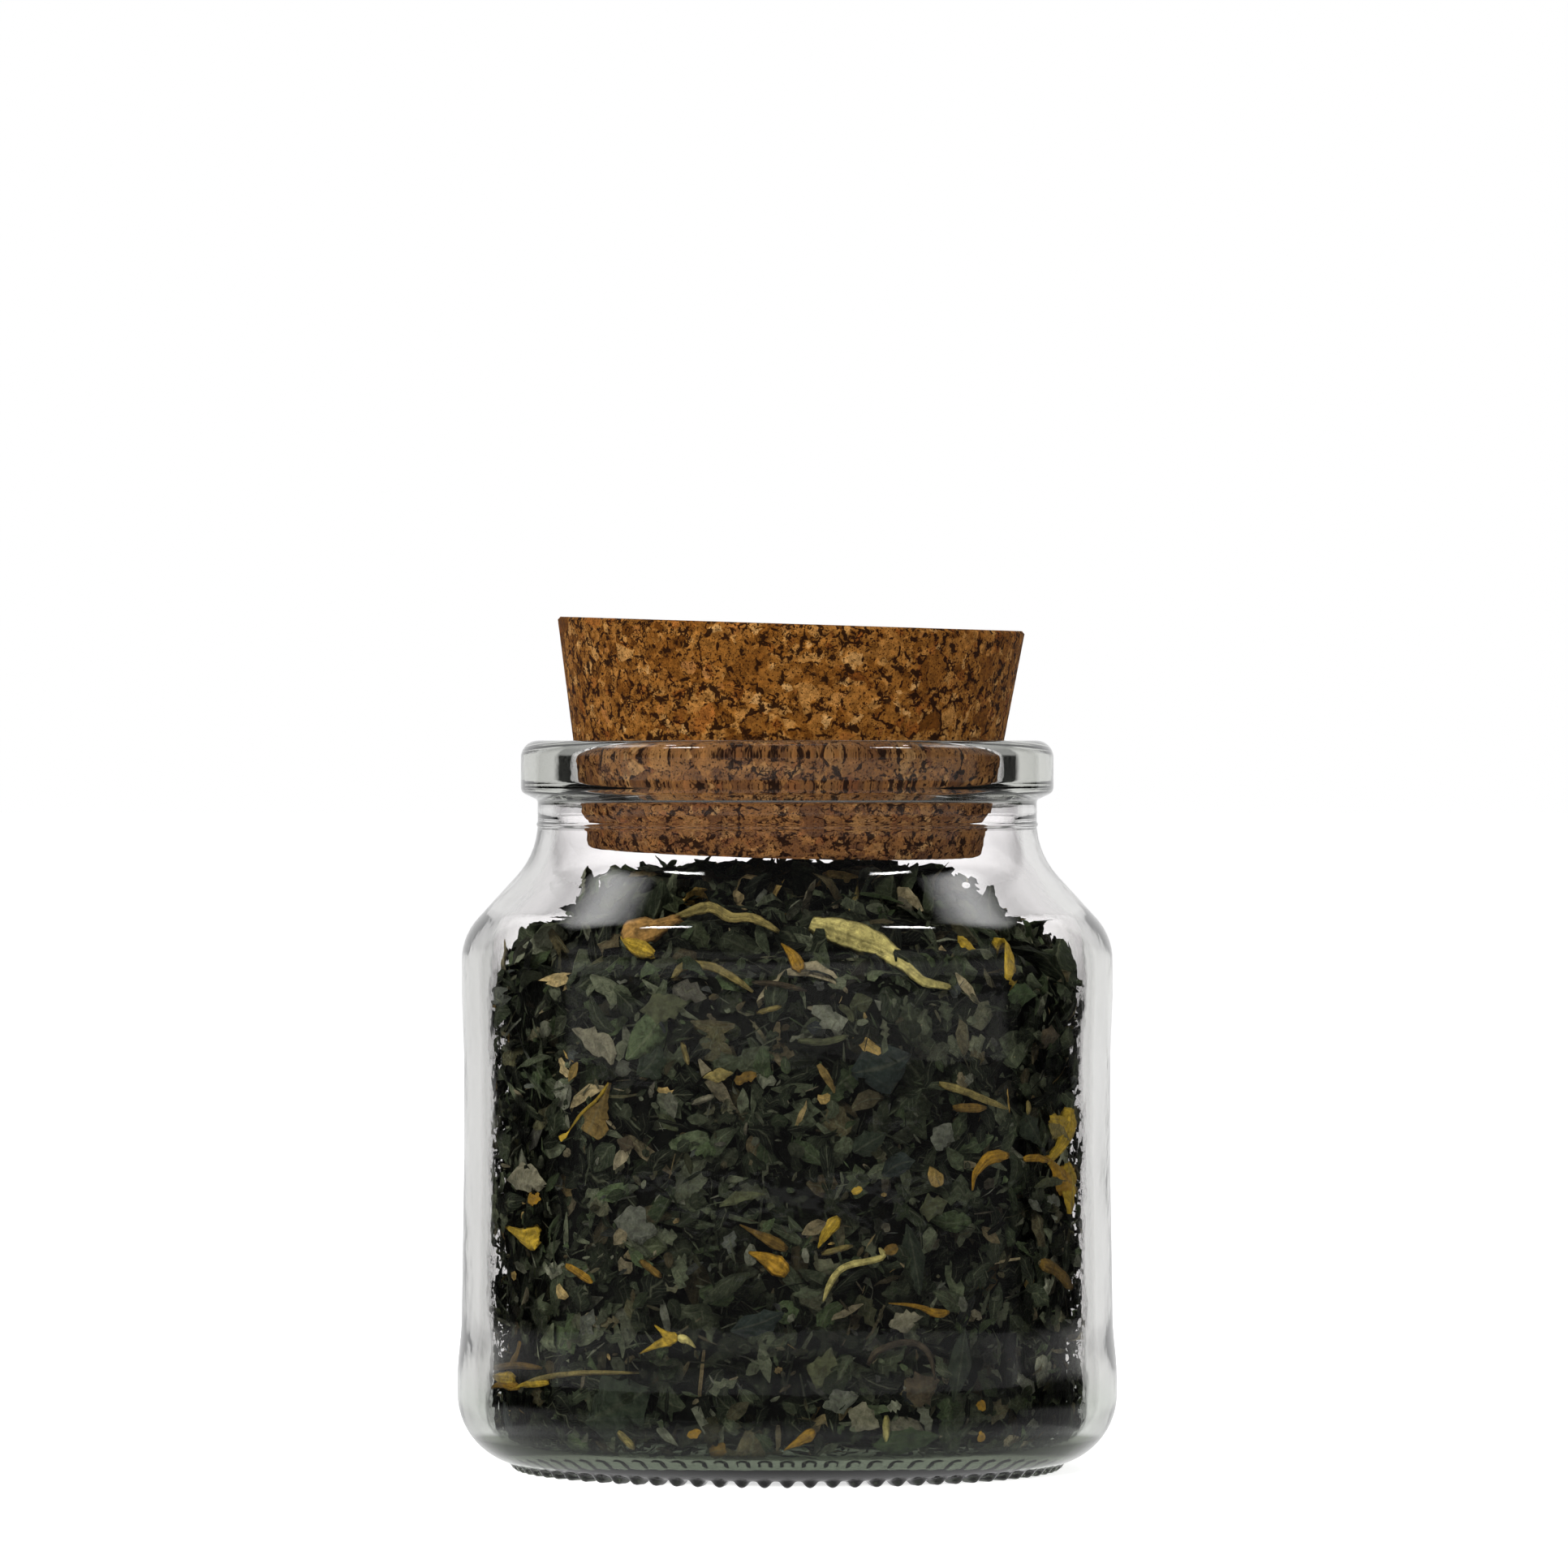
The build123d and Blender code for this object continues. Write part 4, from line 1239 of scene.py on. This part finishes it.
# widths from foot to tip, as shares of the full width
outlines = {
    "petal": [0.12, 0.30, 0.52, 0.74, 0.96, 1.0, 0.42], "wedge": [0.55, 0.95, 1.0, 0.85, 0.62, 0.46, 0.34],
    "tongue": [0.2, 0.34, 0.46, 0.62, 0.88, 1.0, 0.62], "fan": [0.08, 0.14, 0.3, 0.55, 0.85, 1.0, 0.8],
    "leaf": [0.08, 0.6, 0.95, 1.0, 0.85, 0.5, 0.06], "thread": [0.5, 1.0, 1.0, 1.0, 1.0, 0.9, 0.3],
    "chip": [0.5, 0.95, 1.0, 0.9, 1.0, 0.8, 0.45],
}
smoothOutlines = ("petal", "tongue", "wedge", "thread")
# tint, outline, width in pixels, and the pixels its middle line passes
frontPieces = [
    ("lemon", "tongue", 33,
     [(1172, 1216), (1140, 1209), (1114, 1187), (1083, 1165), (1041, 1149), (999, 1137)]),
    ("apricot", "wedge", 36, [(768, 1160), (784, 1148), (808, 1140), (838, 1131)]),
    ("yellow", "petal", 15, [(764, 1154), (776, 1166), (806, 1176)]),
    ("straw", "thread", 14, [(832, 1131), (874, 1118), (900, 1132), (926, 1132), (960, 1148)]),
    ("straw", "thread", 9, [(1015, 1080), (1052, 1083), (1057, 1101), (1046, 1122)]),
    ("yellow", "petal", 34, [(1224, 1158), (1240, 1170), (1250, 1190), (1246, 1212)]),
    ("yellow", "leaf", 10, [(1180, 1150), (1190, 1162), (1203, 1172)]),
    ("orange", "petal", 16, [(962, 1162), (974, 1176), (988, 1196)]),
    ("straw", "thread", 10, [(829, 1205), (842, 1191), (874, 1192), (900, 1203), (928, 1222)]),
    ("brown", "thread", 7, [(926, 1210), (960, 1213), (994, 1221)]),
    ("beige", "leaf", 26, [(704, 1268), (727, 1281), (745, 1292), (753, 1312)]),
    ("tan", "fan", 30, [(750, 1334), (742, 1356), (733, 1376), (724, 1397)]),
    ("yellow", "thread", 3.5, [(750, 1334), (736, 1354), (716, 1372), (702, 1392)]),
    ("yellow", "fan", 6, [(705, 1386), (697, 1398), (689, 1403)]),
    ("yellow", "petal", 20, [(622, 1512), (645, 1525), (664, 1524)]),
    ("amber", "chip", 13, [(906, 1334), (918, 1328), (932, 1324)]),
    ("straw", "leaf", 16, [(866, 1328), (884, 1324), (903, 1322)]),
    ("brown", "leaf", 15, [(760, 1404), (770, 1410), (782, 1414)]),
    ("beige", "leaf", 24, [(622, 1455), (646, 1452), (670, 1460)]),
    ("orange", "chip", 10, [(650, 1480), (664, 1474)]),
    ("olive", "leaf", 15, [(886, 1487), (914, 1474), (944, 1472)]),
    ("pale", "leaf", 44, [(756, 1505), (782, 1512), (808, 1520)]),
    ("olive", "leaf", 34, [(788, 1246), (816, 1242), (846, 1236)]),
    ("green", "leaf", 30, [(784, 1326), (803, 1310), (812, 1288)]),
    ("straw", "thread", 7, [(840, 1284), (848, 1312)]),
    ("beige", "thread", 8, [(852, 1360), (880, 1350)]),
    ("straw", "thread", 7, [(932, 1248), (963, 1240)]),
    ("bright", "leaf", 20, [(1244, 1228), (1260, 1225), (1278, 1226)]),
    ("brown", "leaf", 17, [(1284, 1280), (1306, 1276)]),
    ("olive", "thread", 9, [(1034, 1239), (1046, 1248), (1051, 1260)]),
    ("olive", "thread", 9, [(983, 1282), (1014, 1284), (1046, 1276)]),
    ("straw", "thread", 8, [(1157, 1335), (1192, 1346), (1242, 1366)]),
    ("amber", "thread", 9, [(1174, 1365), (1216, 1365)]),
    ("pale", "leaf", 28, [(1156, 1418), (1163, 1401), (1172, 1384)]),
    ("orange", "petal", 13, [(1199, 1467), (1203, 1446), (1221, 1427), (1244, 1424)]),
    ("orange", "thread", 6, [(1261, 1428), (1278, 1427), (1294, 1430)]),
    ("yellow", "wedge", 20, [(1322, 1366), (1318, 1392), (1308, 1414), (1292, 1432)]),
    ("straw", "leaf", 15, [(1294, 1384), (1306, 1394), (1318, 1406)]),
    ("yellow", "chip", 9, [(1294, 1378), (1306, 1380), (1318, 1384)]),
    ("orange", "fan", 26, [(1290, 1424), (1302, 1438), (1314, 1452), (1324, 1462)]),
    ("yellow", "chip", 17, [(1318, 1432), (1321, 1462), (1320, 1496)]),
    ("green", "leaf", 20, [(1264, 1372), (1272, 1390), (1284, 1412)]),
    ("olive", "leaf", 8, [(1275, 1463), (1292, 1457), (1318, 1455)]),
    ("pale", "leaf", 7, [(1268, 1478), (1277, 1486), (1284, 1493)]),
    ("pale", "chip", 8, [(1291, 1478), (1302, 1479), (1306, 1486)]),
    ("straw", "thread", 5, [(1266, 1356), (1268, 1366), (1266, 1374)]),
    ("green", "leaf", 30, [(1052, 1420), (1069, 1409), (1092, 1396)]),
    ("teal", "leaf", 30, [(1088, 1448), (1106, 1435), (1128, 1430)]),
    ("teal", "leaf", 56, [(1050, 1322), (1088, 1315), (1124, 1300)]),
    ("yellow", "petal", 17, [(1008, 1538), (1018, 1520), (1034, 1500)]),
    ("straw", "thread", 8, [(1012, 1545), (1051, 1535)]),
    ("amber", "chip", 12, [(1090, 1544), (1106, 1536)]),
    ("lemon", "thread", 8, [(1084, 1537), (1086, 1550), (1043, 1560), (1025, 1578), (1014, 1604)]),
    ("yellow", "chip", 9, [(1050, 1470), (1062, 1464)]),
    ("olive", "leaf", 28, [(1134, 1492), (1150, 1488), (1168, 1480)]),
    ("amber", "petal", 15, [(911, 1509), (940, 1524), (970, 1540)]),
    ("orange", "petal", 26, [(922, 1543), (945, 1552), (970, 1570)]),
    ("amber", "thread", 9, [(788, 1553), (815, 1574)]),
    ("orange", "thread", 8, [(696, 1559), (712, 1568), (730, 1581)]),
    ("yellow", "petal", 14, [(806, 1633), (822, 1646), (835, 1650)]),
    ("yellow", "petal", 13, [(788, 1668), (812, 1656), (832, 1650)]),
    ("lemon", "petal", 12, [(857, 1661), (846, 1652), (834, 1648)]),
    ("yellow", "petal", 9, [(594, 1693), (612, 1698), (634, 1700)]),
    ("orange", "petal", 7, [(594, 1712), (616, 1706), (640, 1710)]),
    ("amber", "thread", 5, [(606, 1686), (632, 1682), (668, 1686)]),
    ("straw", "thread", 5, [(640, 1710), (666, 1698), (717, 1692), (787, 1692)]),
    ("yellow", "petal", 6, [(628, 1712), (648, 1706), (676, 1704)]),
    ("amber", "thread", 6, [(640, 1652), (636, 1668), (628, 1684)]),
    ("green", "leaf", 58, [(720, 1752), (756, 1735), (798, 1712)]),
    ("straw", "thread", 8, [(761, 1764), (782, 1786)]),
    ("teal", "leaf", 32, [(900, 1640), (934, 1631), (966, 1618)]),
    ("amber", "chip", 16, [(874, 1790), (894, 1785)]),
    ("orange", "leaf", 10, [(846, 1770), (864, 1764)]),
    ("orange", "petal", 10, [(1095, 1606), (1127, 1609), (1153, 1618), (1170, 1617)]),
    ("beige", "leaf", 24, [(1096, 1634), (1116, 1628), (1138, 1622)]),
    ("brown", "thread", 8, [(1069, 1682), (1082, 1665), (1116, 1654), (1143, 1665), (1153, 1700)]),
    ("brown", "leaf", 38, [(1118, 1722), (1135, 1714), (1158, 1700)]),
    ("green", "leaf", 22, [(1190, 1636), (1184, 1680), (1176, 1728)]),
    ("orange", "chip", 10, [(1208, 1726), (1213, 1738)]),
    ("orange", "chip", 8, [(1206, 1768), (1214, 1772)]),
    ("pale", "leaf", 26, [(1014, 1734), (1036, 1727), (1058, 1720)]),
    ("beige", "leaf", 30, [(1046, 1738), (1064, 1746), (1084, 1758)]),
    ("bright", "leaf", 26, [(1076, 1782), (1116, 1775), (1158, 1770)]),
    ("lemon", "thread", 8, [(1092, 1744), (1092, 1776)]),
    ("orange", "petal", 14, [(966, 1788), (986, 1775), (1004, 1764)]),
    ("amber", "thread", 11, [(1282, 1556), (1304, 1566), (1322, 1588)]),
    ("green", "leaf", 24, [(1118, 1508), (1127, 1552), (1134, 1596)]),
    ("olive", "leaf", 32, [(1006, 1712), (1014, 1688), (1024, 1660)]),
]
# depth and shade are a least value and how much chance adds; widths in mm from which a piece has more columns
frontSet = {"millimetresPerPixel": 1 / 9.9, "depth": (0.04, 0.06), "shade": (0.88, 0.24),
            "leastFacing": 0.6, "thick": 0.22, "threadCurl": 0.05, "curl": 0.10, "smoothJag": 0.09,
            "rawJag": 0.26, "swing": 0.5, "lean": 0.35, "crease": 0.05, "wideFrom": 1.2, "middlingFrom": 0.9,
            "gap": 0.05, "seed": 5}


# a soft line through the points, a few steps per span
def softLine(points, steps):
    padded = [points[0] * 2 - points[1]] + points + [points[-1] * 2 - points[-2]]
    line = []
    for a, b, c, d in zip(padded, padded[1:], padded[2:], padded[3:]):
        for k in range(steps):
            t = k / steps
            square, cube = 2 * a - 5 * b + 4 * c - d, 3 * b - a - 3 * c + d
            line.append(0.5 * (2 * b + (c - a) * t + square * t ** 2 + cube * t ** 3))
    return line + [points[-1]]


# rows of places for a petal or leaf laid along a line of points in mm, its face towards the glass
def laidRows(line, widths, width, curl, smooth, rng):
    across = 6 if smooth and width > frontSet["wideFrom"] else 4 if width > frontSet["middlingFrom"] else 2
    jag = frontSet["smoothJag"] if smooth else frontSet["rawJag"]
    rows, last = [], len(line) - 1
    for i, spot in enumerate(line):
        ahead = (line[min(i + 1, last)] - line[max(i - 1, 0)]).normalized()
        out = Vector((spot.x, spot.y, 0.0)).normalized()
        side = ahead.cross(out).normalized()
        out = side.cross(ahead).normalized()
        share = i / last
        half = width / 2 * float(np.interp(share * 6, range(7), widths))
        halves = [half * (1 + jag * rng.uniform(-1, 1)), half * (1 + jag * rng.uniform(-1, 1))]
        lean = frontSet["swing"] * math.sin(share * 5 + width * 3)
        row = []
        for j in range(across + 1):
            s = 2 * j / across - 1
            wave = math.cos(math.pi * 3 * s + share * 4 + width)
            crease = frontSet["crease"] * width * wave * (1 - abs(s) ** 3)
            bent = -curl * width * (s * s) + lean * s * half * frontSet["lean"] + crease
            row.append((spot + side * (s * halves[s > 0]) + out * bent, out, (share, (s + 1) / 2)))
        rows.append(row)
    return rows


def makeFrontPieces():
    grid = bmesh.new()
    uv = grid.loops.layers.uv.new("leafUV")
    tintLayer = grid.verts.layers.float_color.new("flakeTint")
    rng = random.Random(frontSet["seed"])
    for tintName, outline, width, pixels in frontPieces:
        depth = frontSet["depth"][0] + frontSet["depth"][1] * rng.random()
        line = [throughGlass(px, py, depth) for px, py in pixels]
        line = [spot for spot in line if spot is not None]
        if len(line) < 2:
            continue
        shade = frontSet["shade"][0] + frontSet["shade"][1] * rng.random()
        tint = [min(1.0, channel * shade) for channel in tints[tintName]]
        # wider towards the sides, where the wall turns away
        middle = line[len(line) // 2]
        width /= max(frontSet["leastFacing"], -middle.y / math.hypot(middle.x, middle.y))
        smooth = outline in smoothOutlines
        curl = frontSet["threadCurl"] if outline == "thread" else frontSet["curl"]
        soft = softLine(line, 4 if len(line) > 3 else 5)
        rows = laidRows(soft, outlines[outline], width * frontSet["millimetresPerPixel"], curl, smooth, rng)
        for face in closedBlade(grid, uv, rows, frontSet["thick"], laidOrder):
            face.smooth = smooth
            for vertex in face.verts:
                vertex[tintLayer] = (*tint, 1.0 if smooth else 0.0)
    mesh = bpy.data.meshes.new("frontPetals")
    bmesh.ops.recalc_face_normals(grid, faces=grid.faces)
    grid.to_mesh(mesh)
    grid.free()
    made = asObject("frontPetals", mesh, petalLook)
    pressIn(mesh, frontSet["gap"], 0)
    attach(made, "jar")
    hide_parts("flower_petals")
    return len(mesh.polygons)


print("front petals and leaves made", makeFrontPieces())
